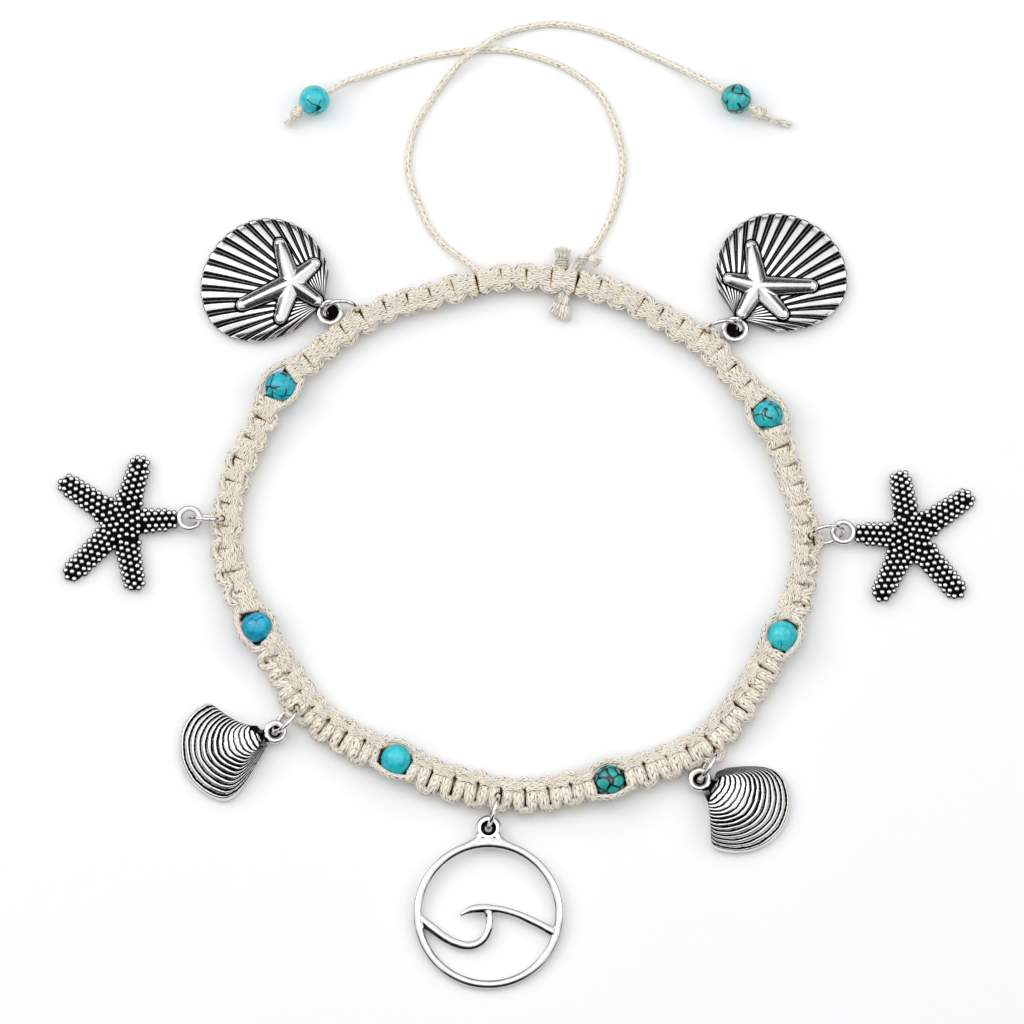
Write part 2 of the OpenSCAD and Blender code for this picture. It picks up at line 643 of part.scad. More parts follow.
// Columns: x, y, width against the line's own
WAVE_FACE = [
    [11.95, -9.1, 1.5], [12.57, -8.47, 1.35], [13.38, -7.47, 1.2], [14.6, -5.87, 1.1], [15.41, -4.27, 1.1],
    [15.74, -2.67, 1.05], [15.41, -1.39, 1.0], [14.6, -0.47, 0.95], [13.38, 0.05, 0.9], [12.16, 0.13, 0.9],
    [11.2, -0.05, 0.95]
];
WAVE_BACK = [
    [11.65, -3.75, 0.3], [11.25, -3.1, 0.6], [10.9, -2.3, 0.95], [10.75, -1.3, 1.1], [10.72, -0.3, 1.1],
    [10.78, 0.6, 0.95], [10.95, 1.9, 0.9], [11.5, 3.8, 0.9], [12.3, 5.6, 1.0], [13.1, 7.2, 1.15],
    [13.9, 8.6, 1.5]
];
module wave_line(rows) {
    last = len(rows) - 1;
    skin([
        for (i = [0 : last])
            let (
                ahead = rows[min(i + 1, last)] - rows[max(i - 1, 0)],
                t = [ahead[0], ahead[1]] / norm([ahead[0], ahead[1]]),
                half_w = wave_line_w * rows[i][2] / 2
            )
            [
                for (a = [22.5 : 45 : 359])
                    [
                        rows[i][0] + t[1] * half_w * cos(a),
                        rows[i][1] - t[0] * half_w * cos(a),
                        disc_rim_t / 2 * sin(a)
                    ]
            ]
    ]);
}
module wave_disc() {
    color("silver") lay_charm(WAVE, disc_middle + disc_d / 2, disc_rim_t / 2) union() {
        translate([disc_middle, 0, 0]) rotate_extrude($fn = 36)
            translate([disc_rim_r, 0]) scale([disc_rim_w, disc_rim_t]) circle(d = 1, $fn = 6);
        wave_line(WAVE_FACE);
        wave_line(WAVE_BACK);
        eye(wave_eye_r);
    }
}

knotted_band();
slide_knot();
bead_1();
bead_2();
bead_3();
bead_4();
bead_5();
bead_6();
tail_cord_left();
tail_cord_right();
tail_bead_left();
tail_bead_right();
tail_knot_left();
tail_knot_right();
ring_scallop_left();
ring_starfish_left();
ring_clam_left();
ring_wave();
ring_clam_right();
ring_starfish_right();
ring_scallop_right();
scallop_left();
scallop_right();
starfish_left();
starfish_right();
clam_left();
clam_right();
wave_disc();
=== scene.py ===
# A shell anklet laid flat: a square-knotted cotton band with turquoise beads, cast silver
# sea charms on jump rings, and a sliding knot with two beaded tails.
# Places are in millimetres in the part's frame and become metres when a mesh is made:
# +Y points from the middle of the loop to the closure, +Z up, and the surface is z = 0.
import bpy
import math
import random
from collections import namedtuple
from functools import partial
import numpy as np
from mathutils import Matrix, Vector
from mathutils.bvhtree import BVHTree


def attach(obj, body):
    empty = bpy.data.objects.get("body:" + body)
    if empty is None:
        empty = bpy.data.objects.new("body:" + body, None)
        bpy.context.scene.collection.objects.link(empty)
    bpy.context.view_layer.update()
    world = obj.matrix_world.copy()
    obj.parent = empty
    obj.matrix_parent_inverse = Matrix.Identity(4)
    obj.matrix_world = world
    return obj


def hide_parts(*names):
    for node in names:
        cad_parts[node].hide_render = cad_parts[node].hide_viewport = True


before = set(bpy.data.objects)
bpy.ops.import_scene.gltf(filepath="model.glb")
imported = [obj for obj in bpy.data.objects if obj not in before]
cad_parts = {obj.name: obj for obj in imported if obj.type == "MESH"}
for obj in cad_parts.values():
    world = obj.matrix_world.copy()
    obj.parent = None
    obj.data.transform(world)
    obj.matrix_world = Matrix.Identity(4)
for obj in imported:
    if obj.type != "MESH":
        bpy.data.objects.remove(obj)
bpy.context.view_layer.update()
MM = 0.001
UP = np.array([0.0, 0.0, 1.0])


def in_scene(name, data):
    """A new object in the scene, at the origin."""
    made = bpy.data.objects.new(name, data)
    bpy.context.scene.collection.objects.link(made)
    return made


# ---- Camera: looks down from the front, 80 degrees above the surface ----
PHOTO_PX = 1024
PX_PER_MM = 7.5
VIEW_CENTRE = Vector((-0.67, 3.8, 0.6))
CAMERA_RAISE = 80
LENS = 1000
SENSOR = 36
distance = LENS / SENSOR * PHOTO_PX / PX_PER_MM
lean = math.radians(90 - CAMERA_RAISE)
camera = in_scene("camera", bpy.data.cameras.new("camera"))
camera.data.lens = LENS
camera.data.sensor_width = SENSOR
camera.data.clip_start = 0.01
camera.data.clip_end = 20
camera.location = (VIEW_CENTRE - Vector((0, math.sin(lean), -math.cos(lean))) * distance) * MM
camera.rotation_euler = (lean, 0, 0)
bpy.context.scene.camera = camera


# ---- Materials ----
def linear(code):
    """An sRGB hex colour as linear RGBA."""
    parts = [int(code[i:i + 2], 16) / 255 for i in (1, 3, 5)]
    return [p / 12.92 if p <= 0.04045 else ((p + 0.055) / 1.055) ** 2.4 for p in parts] + [1]


def feed(node, inputs):
    """Sets a node's inputs, each to a value or to the output that feeds it."""
    for name, value in inputs.items() if isinstance(inputs, dict) else enumerate(inputs):
        if isinstance(value, bpy.types.NodeSocket):
            node.id_data.links.new(value, node.inputs[name])
        else:
            node.inputs[name].default_value = value


def add(tree, kind, inputs=(), out=0, stops=(), **settings):
    """Adds a node with its settings, inputs and ramp stops, and returns one of its outputs."""
    made = tree.nodes.new("ShaderNode" + kind)
    for name, value in settings.items():
        setattr(made, name, value)
    feed(made, inputs)
    if stops:
        elements = made.color_ramp.elements
        while len(elements) < len(stops):
            elements.new(0.5)
        for element, (place, colour) in zip(elements, stops):
            element.position = place
            element.color = linear(colour) if isinstance(colour, str) else (colour, colour, colour, 1)
    return made.outputs[out]


def blank(name):
    """A new material, what adds nodes to it, and its Principled shader."""
    made = bpy.data.materials.new(name)
    made.use_nodes = True
    return made, partial(add, made.node_tree), made.node_tree.nodes["Principled BSDF"]


def coat(piece, material):
    piece.data.materials.clear()
    piece.data.materials.append(material)


# Waxed cotton cord, braided: columns of slanting yarns that meet in a herringbone, cream on
# top with painted shade where a yarn goes down, short dark flecks of painted shade where the
# yarns dive, and painted shade, golden to brown, between the knots. UV: u in columns of yarn,
# v along the cord in millimetres.
STITCH = 0.95
SLANT = 0.8
HALF = (0.5, 0.5, 0.5)
# The darkest painted shade, where the shade attribute passes 1, as beside a bead
DEEPEST = "#33261A"


def braided_cotton(name, light, shade, dive_shade, gap_shade_light, gap_shade_dark):
    made, node, shader = blank(name)
    spot = node("TexCoord", out="Object")
    sway = node("TexNoise", {"Vector": spot, "Scale": 900, "Detail": 1}, "Color")
    sway = node("VectorMath", [sway, HALF], operation="SUBTRACT")
    sway = node("VectorMath", {0: sway, "Scale": 0.9}, operation="SCALE")
    bent = node("VectorMath", [node("UVMap", uv_map="cord"), sway], operation="ADD")
    column, length, _ = node("SeparateXYZ", [bent]).node.outputs
    # Yarns slant one way in one column and the other way in the next
    zigzag = node("Math", [column, 1.0], operation="PINGPONG")
    zigzag = node("Math", [zigzag, SLANT], operation="MULTIPLY")
    plait = node("Math", [length, 1 / STITCH, zigzag], operation="MULTIPLY_ADD")
    plait = node("Math", [plait, math.pi], operation="MULTIPLY")
    plait = node("Math", [node("Math", [plait], operation="SINE")], operation="ABSOLUTE")
    seam = node("Math", [node("Math", [column], operation="FRACT"), math.pi], operation="MULTIPLY")
    seam = node("Math", [seam], operation="SINE")
    relief = node("Math", [plait, seam], operation="MULTIPLY")
    fibre = node("TexNoise", {"Vector": spot, "Scale": 5200, "Detail": 3, "Roughness": 0.6})
    fuzz = node("Math", [fibre, 0.45, relief], operation="MULTIPLY_ADD")
    # Painted shade on the yarns: darker where the plait's relief is low
    cream = node("ValToRGB", [fuzz], stops=[(0.15, shade), (0.62, light), (1.0, light)])
    fine = node("TexNoise", {"Vector": spot, "Scale": 1700, "Detail": 2})
    # Painted shade: short dark flecks where the yarns dive, at random places
    low = node("ValToRGB", [relief], stops=[(0.0, 1.0), (0.3, 0.0)])
    some = node("ValToRGB", [fine], stops=[(0.5, 0.0), (0.58, 1.0)])
    dive = node("Math", [low, some], operation="MULTIPLY")
    dive_shaded = node("Mix", {"Factor": dive, 6: cream, 7: linear(dive_shade)}, 2, data_type="RGBA")
    # Painted shade between the knots, in the jump rings' shadows and beside the beads, from the shade
    # attribute, broken up by noise
    patch = node("TexNoise", {"Vector": spot, "Scale": 420, "Detail": 2})
    gap = node("Attribute", out="Fac", attribute_name="gap")
    painted_shade = node("Math", [patch, 0.5, gap], operation="MULTIPLY_ADD")
    deep = node("ValToRGB", [painted_shade],
                stops=[(0.5, "#FFFFFF"), (0.82, gap_shade_light), (1.0, gap_shade_dark), (1.0, DEEPEST)])
    colour = node("Mix", {"Factor": 1.0, 6: dive_shaded, 7: deep}, 2, data_type="RGBA", blend_type="MULTIPLY")
    bump = node("Bump", {"Strength": 0.9, "Distance": 0.1 * MM, "Height": fuzz})
    feed(shader, {"Base Color": colour, "Normal": bump, "Roughness": 0.72, "Specular IOR Level": 0.25,
                  "Sheen Weight": 0.25, "Sheen Roughness": 0.5})
    return made


knot_cotton = braided_cotton("waxed_braided_cotton_knotted",
                             "#FDF5E8", "#C4B08F", "#5C4F42", "#DDBA82", "#8C683C")
tail_cotton = braided_cotton("waxed_braided_cotton_tail",
                             "#FDF7EA", "#D6C5A6", "#AE9A7A", "#D9C49C", "#8A6A40")


# Frayed cotton yarn: loose threads with a soft sheen, a little greyer than the cord.
def frayed_cotton():
    made, node, shader = blank("frayed_cotton_yarn")
    spot = node("TexCoord", out="Object")
    tone = node("TexNoise", {"Vector": spot, "Scale": 900, "Detail": 2})
    tone = node("ValToRGB", [tone], stops=[(0.3, "#DAD2C6"), (0.6, "#F8F3EA")])
    feed(shader, {"Base Color": tone, "Roughness": 0.8, "Sheen Weight": 0.3})
    return made


yarn = frayed_cotton()


# Dyed turquoise, tumbled and polished: a waxy blue-green with dark matrix veins.
# vein is the size of a matrix cell in millimetres, width the share of it that is vein,
# and broken how much of the web is missing.
def turquoise(name, seed, vein, width, broken, light, deep, matrix):
    made, node, shader = blank(name)
    spot = node("TexCoord", out="Object")
    spot = node("Mapping", {"Vector": spot, "Location": (seed * 0.013, seed * 0.007, 0)})
    wander = node("TexNoise", {"Vector": spot, "Scale": 700, "Detail": 3}, "Color")
    wander = node("VectorMath", [wander, HALF], operation="SUBTRACT")
    wander = node("VectorMath", {0: wander, "Scale": 0.7 * MM}, operation="SCALE")
    bent = node("VectorMath", [spot, wander], operation="ADD")
    cells = node("TexVoronoi", {"Vector": bent, "Scale": 1 / (vein * MM)}, feature="DISTANCE_TO_EDGE")
    missing = node("TexNoise", {"Vector": spot, "Scale": 450, "Detail": 1})
    gone = 0.3 + broken * 0.4
    missing = node("MapRange", {"Value": missing, "From Min": gone, "From Max": gone + 0.06,
                                "To Min": 1.0 if broken else 0.0, "To Max": 0.0})
    edge = node("Math", [missing, cells], operation="ADD")
    body = node("TexNoise", {"Vector": spot, "Scale": 950, "Detail": 4, "Roughness": 0.6})
    stone = node("ValToRGB", [body], stops=[(0.3, deep), (0.62, light)])
    web = node("ValToRGB", [edge], stops=[(width * 0.55, 1.0), (width, 0.0)])
    colour = node("Mix", {"Factor": web, 6: stone, 7: linear(matrix)}, 2, data_type="RGBA")
    bump = node("Bump", {"Strength": 0.3, "Distance": 0.05 * MM, "Height": web}, invert=True)
    feed(shader, {"Base Color": colour, "Normal": bump, "Roughness": 0.28, "Coat Weight": 0.35,
                  "Coat Roughness": 0.12})
    return made


# Each bead: seed, cell in mm, vein width, broken, light, deep and matrix colours
BEADS = {
    "bead_1": (3, 1.9, 0.065, 0.42, "#19C3D2", "#0A93A6", "#06262B"),
    "bead_2": (11, 1.7, 0.045, 0.4, "#12B9DA", "#0686A8", "#073A4A"),
    "bead_3": (21, 2.2, 0.02, 0.8, "#30CFDA", "#17ADBC", "#1D6C74"),
    "bead_4": (35, 1.35, 0.135, 0.0, "#2BC0BA", "#0D8885", "#0A100C"),
    "bead_5": (47, 2.4, 0.03, 0.9, "#38D3DA", "#20B4C0", "#3A4038"),
    "bead_6": (53, 1.9, 0.06, 0.3, "#2CC9D0", "#149CA6", "#10201C"),
    "tail_bead_left": (61, 2.2, 0.04, 0.3, "#35CDD5", "#1CA9B4", "#1C2B2A"),
    "tail_bead_right": (79, 1.6, 0.1, 0.2, "#30BFBD", "#168F90", "#1E130A"),
}


# Antique silver plate on a zinc casting: rubbed bright on the high places, with black
# patina left in the recesses. The attribute recess is 1 in a hollow and 0 on a high place;
# on some charms it also holds painted shade and painted dark reflections.
def antique_silver():
    made, node, shader = blank("antique_silver_plate")
    spot = node("TexCoord", out="Object")
    recess = node("Attribute", out="Fac", attribute_name="recess")
    wear_patina_and_shade = node("TexNoise", {"Vector": spot, "Scale": 1500, "Detail": 4, "Roughness": 0.6})
    wear_patina_and_shade = node("Math", [wear_patina_and_shade, 0.22, recess], operation="MULTIPLY_ADD")
    colour = node("ValToRGB", [wear_patina_and_shade], stops=[(0.36, "#E3E1DE"), (0.52, "#8C8A88"), (0.68, "#141313")])
    dull = node("ValToRGB", [wear_patina_and_shade], stops=[(0.35, 0.2), (0.7, 0.62)])
    grain = node("TexNoise", {"Vector": spot, "Scale": 3800, "Detail": 3, "Roughness": 0.6})
    bump = node("Bump", {"Strength": 0.18, "Distance": 0.03 * MM, "Height": grain})
    feed(shader, {"Base Color": colour, "Roughness": dull, "Normal": bump, "Metallic": 1.0})
    return made


silver = antique_silver()


# Plated steel wire, drawn and polished: bright, with faint marks along its bend.
def ring_wire():
    made, node, shader = blank("polished_plated_wire")
    marks = node("TexNoise", {"Vector": node("TexCoord", out="Object"), "Scale": 2400, "Detail": 3})
    colour = node("ValToRGB", [marks], stops=[(0.35, "#C4C1BC"), (0.6, "#F0EEEA")])
    dull = node("ValToRGB", [marks], stops=[(0.3, 0.08), (0.7, 0.18)])
    feed(shader, {"Base Color": colour, "Roughness": dull, "Metallic": 1.0})
    return made


wire = ring_wire()

for name, values in BEADS.items():
    coat(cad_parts[name], turquoise("turquoise_" + name, *values))
for name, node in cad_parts.items():
    if name.startswith("ring_"):
        coat(node, wire)


# ---- Making meshes ----
def dressed(piece, material, node):
    """Gives a new piece its material, puts it under the root body, and hides the CAD node it stands for."""
    coat(piece, material)
    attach(piece, "root")
    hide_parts(node)
    return piece


def keep(mesh, name, values):
    """Keeps a number for each point of a mesh."""
    if name not in mesh.attributes:
        mesh.attributes.new(name, "FLOAT", "POINT")
    mesh.attributes[name].data.foreach_set("value", np.asarray(values, np.float32))


def kept(items, what, width=1):
    """A property of each point of a mesh, as rows."""
    values = np.empty(len(items) * width, np.float32 if what == "value" else float)
    items.foreach_get(what, values)
    return values.reshape(-1, width) if width > 1 else values


def curve(p, q, r, s, t):
    """Places between q and r on a smooth line through four, at shares t."""
    return 0.5 * (2 * q + (r - p) * t + (2 * p - 5 * q + 4 * r - s) * t ** 2
                  + (3 * q - p - 3 * r + s) * t ** 3)


def smooth_line(points, step):
    """A smooth line through rows of numbers, about a step apart, by their first three."""
    rows = np.array(points, float)
    ends = np.vstack([2 * rows[0] - rows[1], rows, 2 * rows[-1] - rows[-2]])
    out = []
    for i in range(1, len(ends) - 2):
        p, q, r, s = ends[i - 1:i + 3]
        count = max(1, int(round(np.linalg.norm((r - q)[:3]) / step)))
        out.append(curve(p, q, r, s, (np.arange(count) / count)[:, None]))
    return np.vstack(out + [rows[-1:]])


def unit(v):
    return v / np.maximum(np.linalg.norm(v, axis=-1, keepdims=True), 1e-12)


def fade(v, a, b):
    """0 where v is at a, or before it, and 1 from b on."""
    return np.clip((v - a) / (b - a), 0, 1)


def lengths(line):
    """How far along a line each of its points is."""
    return np.concatenate([[0], np.cumsum(np.linalg.norm(np.diff(line, axis=0), axis=1))])


def heading(degrees):
    a = math.radians(degrees)
    return np.array([math.cos(a), math.sin(a), 0])


class Cords:
    """Cords that become one mesh: each a tube whose section may be flattened."""

    def __init__(self):
        self.points, self.faces, self.uvs, self.gaps, self.caps, self.count = [], [], [], [], [], 0

    def lay(self, line, up, half_w, half_t, section, gap=0.0, square=1.0, start=0.0, columns=6):
        """Adds a tube; section is its number of sides, or the points of its outline. The number after section
        is the painted shade on the whole tube.
        """
        n = len(line)
        tangent = unit(np.gradient(line, axis=0))
        up = unit(up - tangent * np.sum(up * tangent, axis=1)[:, None])
        side = np.cross(tangent, up)
        half_w, half_t = np.broadcast_to(half_w, n), np.broadcast_to(half_t, n)
        if isinstance(section, int):
            angle = np.arange(section) * 2 * math.pi / section
            c, s = (np.sign(v) * np.abs(v) ** square for v in (np.cos(angle), np.sin(angle)))
        else:
            c, s = np.array(section, float).T
        ring = (line[:, None] + side[:, None] * (half_w[:, None] * c)[..., None]
                + up[:, None] * (half_t[:, None] * s)[..., None]).reshape(-1, 3)
        length = start + lengths(line)
        sides = len(c)
        k, row = np.arange(sides), np.arange(n - 1)[:, None] * sides
        a, b = (row + k).ravel(), (row + (k + 1) % sides).ravel()
        u0, u1 = (np.tile(columns * (k + one) / sides, n - 1) for one in (0, 1))
        v0, v1 = np.repeat(length[:-1], sides), np.repeat(length[1:], sides)
        self.points.append(ring)
        self.faces.append(self.count + np.stack([a, a + sides, b + sides, b], axis=1))
        self.uvs.append(np.stack([u0, v0, u0, v1, u1, v1, u1, v0], 1).reshape(-1, 2))
        self.gaps.append(np.full(n * sides, float(gap)))
        self.caps += [self.count + k, (self.count + (n - 1) * sides + k)[::-1]]
        self.count += n * sides

    def mesh(self, name, scale=MM):
        points, quads = np.vstack(self.points) * scale, np.vstack(self.faces)
        corners = np.concatenate([quads.ravel()] + self.caps).astype(np.int32)
        sizes = [4] * len(quads) + [len(cap) for cap in self.caps]
        data = bpy.data.meshes.new(name)
        data.vertices.add(len(points))
        data.vertices.foreach_set("co", points.ravel())
        data.loops.add(len(corners))
        data.loops.foreach_set("vertex_index", corners)
        data.polygons.add(len(sizes))
        data.polygons.foreach_set("loop_start", np.cumsum([0] + sizes[:-1]).astype(np.int32))
        data.update(calc_edges=True)
        data.polygons.foreach_set("use_smooth", np.arange(len(sizes)) < len(quads))
        uvs = np.zeros((len(corners), 2), np.float32)
        uvs[:len(quads) * 4] = np.vstack(self.uvs)
        data.uv_layers.new(name="cord").data.foreach_set("uv", uvs.ravel())
        # Painted shade for each point, which darkens the cotton
        keep(data, "gap", np.concatenate(self.gaps))
        data.validate()
        return in_scene(name, data)

    def piece(self, name, material, node):
        """The cords as a finished piece that stands for a CAD node."""
        return dressed(self.mesh(name), material, node)


# ---- The two free tails ----
CORD_D = 0.9
CORD_R = CORD_D / 2
FLOOR_GAP = 0.02
BEAD_R = 2.05
BEAD_Z = BEAD_R + FLOOR_GAP
TAIL_Z = CORD_R + FLOOR_GAP
OVER_Z = TAIL_Z + CORD_D + 0.1
TAIL_STEP, TAIL_SIDES = 0.22, 12
# x, y and z, where a place without z lies on the surface
TAIL_LEFT = [
    [-4.1, 35.2, 1.45], [-4.9, 35.6, 1.5], [-5.7, 36.7, 1.5], [-7.2, 38.0, 1.1], [-9.0, 39.4, 0.7],
    [-10.6, 41.0], [-12.0, 43.0], [-13.0, 45.3], [-13.9, 47.6], [-14.5, 50.0], [-14.5, 52.4],
    [-14.0, 54.9], [-13.1, 57.2], [-11.7, 59.4], [-10.2, 61.6, 0.6], [-8.6, 63.6, 0.95],
    [-6.8, 65.4, OVER_Z], [-4.8, 66.8, OVER_Z], [-2.8, 68.2, 1.1], [-0.4, 69.2, 0.7], [2.0, 69.8],
    [4.5, 70.1], [7.1, 69.9], [9.7, 69.4], [12.1, 68.6], [14.4, 67.6], [16.6, 66.5], [18.9, 65.4],
    [21.2, 64.3, 0.7], [23.4, 63.1, 1.2], [25.4, 62.0, 1.7], [27.4, 60.75, 2.0], [29.3, 59.6, BEAD_Z],
    [31.2, 58.45, 2.0], [32.4, 57.7, 1.6],
]
TAIL_RIGHT = [
    [6.7, 35.1, 1.45], [7.5, 35.6, 1.5], [8.3, 36.8, 1.3], [9.4, 38.4, 0.9], [10.6, 40.2, 0.6],
    [11.8, 42.3], [12.8, 44.6], [13.5, 47.0], [14.0, 49.5], [14.1, 52.0], [13.6, 54.5], [12.9, 56.9],
    [11.9, 59.2], [10.4, 61.3], [8.4, 62.9], [6.1, 64.3], [3.7, 65.3], [1.3, 66.0], [-1.2, 66.5],
    [-3.7, 66.6], [-6.2, 66.5], [-8.7, 66.2], [-11.2, 65.8], [-13.7, 65.2], [-16.1, 64.5],
    [-18.5, 63.7, 0.6], [-20.8, 62.8, 1.0], [-23.0, 61.9, 1.6], [-25.2, 60.6, 2.0],
    [-27.1, 59.4, BEAD_Z], [-29.0, 58.2, 2.0], [-29.4, 57.7, 1.6],
]
# The overhand knot below each tail bead and its frayed end: x, y, z, radius
KNOT_LEFT = [[-29.5, 57.7, 1.6, 0.68], [-30.0, 57.1, 1.1, 0.5], [-30.6, 56.3, 0.75, 0.6]]
KNOT_RIGHT = [
    [32.4, 57.8, 1.6, 0.75], [33.8, 56.9, 1.1, 0.5], [35.2, 56.7, 0.7, 0.45], [36.6, 56.4, 0.6, 0.5],
]


def tail(name, route):
    route = [(row + [TAIL_Z])[:3] for row in route]
    line = smooth_line(route, TAIL_STEP)
    cords = Cords()
    cords.lay(line, UP, CORD_R, CORD_R, TAIL_SIDES)
    piece = cords.piece(name, tail_cotton, name)


def threads(cords, start, end, count, seed, thick, curl):
    """Loose threads that spread from a bundle at start to one at end, each x, y, z, radius."""
    draw = random.Random(seed)
    start, from_r, end, to_r = np.array(start[:3]), start[3], np.array(end[:3]), end[3]
    side = unit(np.cross(unit(end - start), UP))
    up = np.cross(side, unit(end - start))
    for _ in range(count):
        a, r = draw.uniform(0, 2 * math.pi), math.sqrt(draw.random())
        reach = draw.uniform(0.75, 1.05)
        rows = []
        for t in (0, 0.25, 0.5, 0.75, 1):
            spread = (from_r + (to_r - from_r) * t ** 1.5) * r
            wander = curl * t * np.array([draw.uniform(-1, 1) for _ in range(3)])
            place = start + (end - start) * t * reach + wander
            place += spread * (math.cos(a) * side + math.sin(a) * up)
            place[2] = max(place[2], thick + FLOOR_GAP)
            rows.append(place)
        line = smooth_line(rows, 0.25)
        size = thick * np.linspace(1.0, 0.6, len(line))
        cords.lay(line, np.array([0.1, 0.2, 1.0]), size, size, 5)


def overhand_knot(cords, place, way, r):
    """A small tight knot: the cord turns once round itself."""
    ahead = heading(way)
    side = np.array([-ahead[1], ahead[0], 0])
    rows = []
    for k in range(15):
        a = math.radians(-200 + k * 40)
        turn = ahead * 0.75 * (k / 7 - 1) + side * 0.55 * math.cos(a) + UP * 0.5 * math.sin(a)
        rows.append(place + r * turn)
    # The last number is a little painted shade on the knot
    cords.lay(smooth_line(rows, 0.15), UP, r * 0.62, r * 0.52, 10, 0.1)


def pick(*pieces):
    """Leaves these pieces alone selected, and the first of them active."""
    bpy.ops.object.select_all(action="DESELECT")
    for piece in pieces:
        piece.select_set(True)
    if pieces:
        bpy.context.view_layer.objects.active = pieces[0]


def join(pieces, name):
    """Joins finished pieces into the first, which keeps each one's materials."""
    pick(*pieces)
    if len(pieces) > 1:
        bpy.ops.object.join()
    pieces[0].name = name
    return pieces[0]


def tail_knot(name, rows, way, seed):
    cords, loose = Cords(), Cords()
    overhand_knot(cords, np.array(rows[0][:3]), way, rows[0][3])
    for a, b in zip(rows, rows[1:]):
        first, last = a is rows[0], b is rows[-1]
        threads(loose, [*a[:3], a[3] * (0.6 if first else 0.8)], [*b[:3], b[3] * (1.25 if last else 0.8)],
                26, seed + len(loose.points), 0.08, 0.22 if last else 0.12)
    return join([cords.piece(name + "_cord", tail_cotton, name), loose.piece(name + "_threads", yarn, name)],
                name + "_frayed")


knot_left = tail_knot("tail_knot_left", KNOT_LEFT, 225, 40)
knot_right = tail_knot("tail_knot_right", KNOT_RIGHT, -20, 90)
tail("tail_cord_left", TAIL_LEFT)
tail("tail_cord_right", TAIL_RIGHT)


# ---- The knotted band ----
# The band's middle line, from the middle of the closure round by the left: x, y, and its
# width there as a share of the usual one
BAND_ROUTE = np.array([
    [0.0, 35.5, 0.99], [-5.9, 34.4, 1.03], [-11.8, 32.7, 0.95], [-17.7, 31.0, 0.95], [-23.1, 27.9, 1.03],
    [-27.9, 23.8, 0.97], [-31.6, 20.5, 1.0], [-34.0, 15.9, 1.03], [-36.9, 10.0, 1.0], [-38.6, 3.4, 1.05],
    [-38.4, -2.7, 1.15], [-37.0, -7.2, 1.18], [-34.7, -12.0, 1.18], [-31.0, -18.1, 1.21],
    [-27.5, -23.2, 1.18], [-22.4, -27.1, 1.21], [-16.1, -29.9, 1.23], [-8.8, -33.0, 1.23],
    [0.0, -34.7, 1.17], [6.0, -34.1, 1.19], [12.3, -32.7, 1.19], [20.8, -29.9, 1.17], [26.2, -26.7, 1.14],
    [30.4, -21.5, 1.13], [35.3, -13.2, 1.08], [37.7, -6.8, 1.02], [38.5, 0.0, 0.96], [37.1, 6.6, 1.0],
    [33.4, 16.6, 1.0], [29.7, 21.3, 1.02], [25.6, 26.0, 1.03], [19.8, 29.6, 1.0], [12.6, 33.3, 1.03],
    [6.5, 34.9, 1.0],
])
BEAD_ROWS = [6, 12, 16, 20, 24, 28]
STRETCH_KNOTS = [9, 10, 8, 8, 9, 10, 10]
ROUTE_STEPS = 6
BAND_Z = 1.42
BEAD_RISE_REACH = 5
SLIDE_LEFT, SLIDE_RIGHT, TAIL_GAP = 4.4, -7.0, 1.15
SLIDE_KNOTS = 4
BEAD_CLEAR = BEAD_R - 0.1
# How the band is rolled about its own line, and half the width of its blocks: rows of the
# share of the way round, degrees, millimetres
ROLL = np.array([
    [0, 43, 1.22], [0.16, 42, 1.22], [0.24, 40, 1.22], [0.28, 36, 1.22], [0.32, 28, 1.12], [0.36, 20, 0.94],
    [0.4, 17, 0.84], [0.44, 14, 0.8], [0.55, 12, 0.78], [0.64, 14, 0.8], [0.68, 20, 0.94], [0.72, 30, 1.14],
    [0.77, 38, 1.18], [0.82, 41, 1.22], [1, 43, 1.22],
])
# The band's section, across and through, is an ellipse: a place on it has an angle from the
# top towards the outer side, and a share of the way out from the band's middle
HALF_W, HALF_T = 1.95, 1.28
shares = np.arange(ROUTE_STEPS)[:, None] / ROUTE_STEPS
band_line = [curve(*np.roll(BAND_ROUTE, 1 - i, axis=0)[:4], shares) for i in range(len(BAND_ROUTE))]
band_line = np.vstack(band_line + [BAND_ROUTE[:1]])
along = lengths(band_line[:, :2])
BAND_LENGTH = along[-1]
BEAD_AT = [along[row * ROUTE_STEPS] for row in BEAD_ROWS]


def on_line(s, column):
    return np.interp(np.mod(s, BAND_LENGTH), along, band_line[:, column])


def band_point(s):
    return np.stack([on_line(s, 0), on_line(s, 1)], -1)


def band_tangent(s):
    return unit(band_point(s + 0.8) - band_point(s - 0.8))


def band_height(s):
    s = np.mod(s, BAND_LENGTH)
    near = np.max([np.exp(-((s - b) / BEAD_RISE_REACH) ** 2) for b in BEAD_AT], axis=0)
    return BAND_Z + (BEAD_Z - BAND_Z) * near


def way_round(s, column):
    return np.interp(np.mod(s, BAND_LENGTH) / BAND_LENGTH, ROLL[:, 0], ROLL[:, column])


def wide(s):
    return HALF_W * on_line(s, 2)


def on_band(s, angle, out):
    """Places on the band's section, and the outward direction there."""
    s, angle, out = np.broadcast_arrays(*(np.asarray(v, float) for v in (s, angle, out)))
    a = np.radians(angle + way_round(s, 1))
    t, p = band_tangent(s), band_point(s)
    n, z = wide(s) * out * np.sin(a), HALF_T * out * np.cos(a)
    places = np.stack([p[..., 0] + t[..., 1] * n, p[..., 1] - t[..., 0] * n, band_height(s) + z], -1)
    n, z = np.sin(a) / wide(s), np.cos(a) / HALF_T
    return places, unit(np.stack([t[..., 1] * n, -t[..., 0] * n, z], -1))


def mirrored(rows):
    """Rows up to a middle one, and back again with the first number's sign changed."""
    return rows + [[-row[0], *row[1:]] for row in rows[-2::-1]]


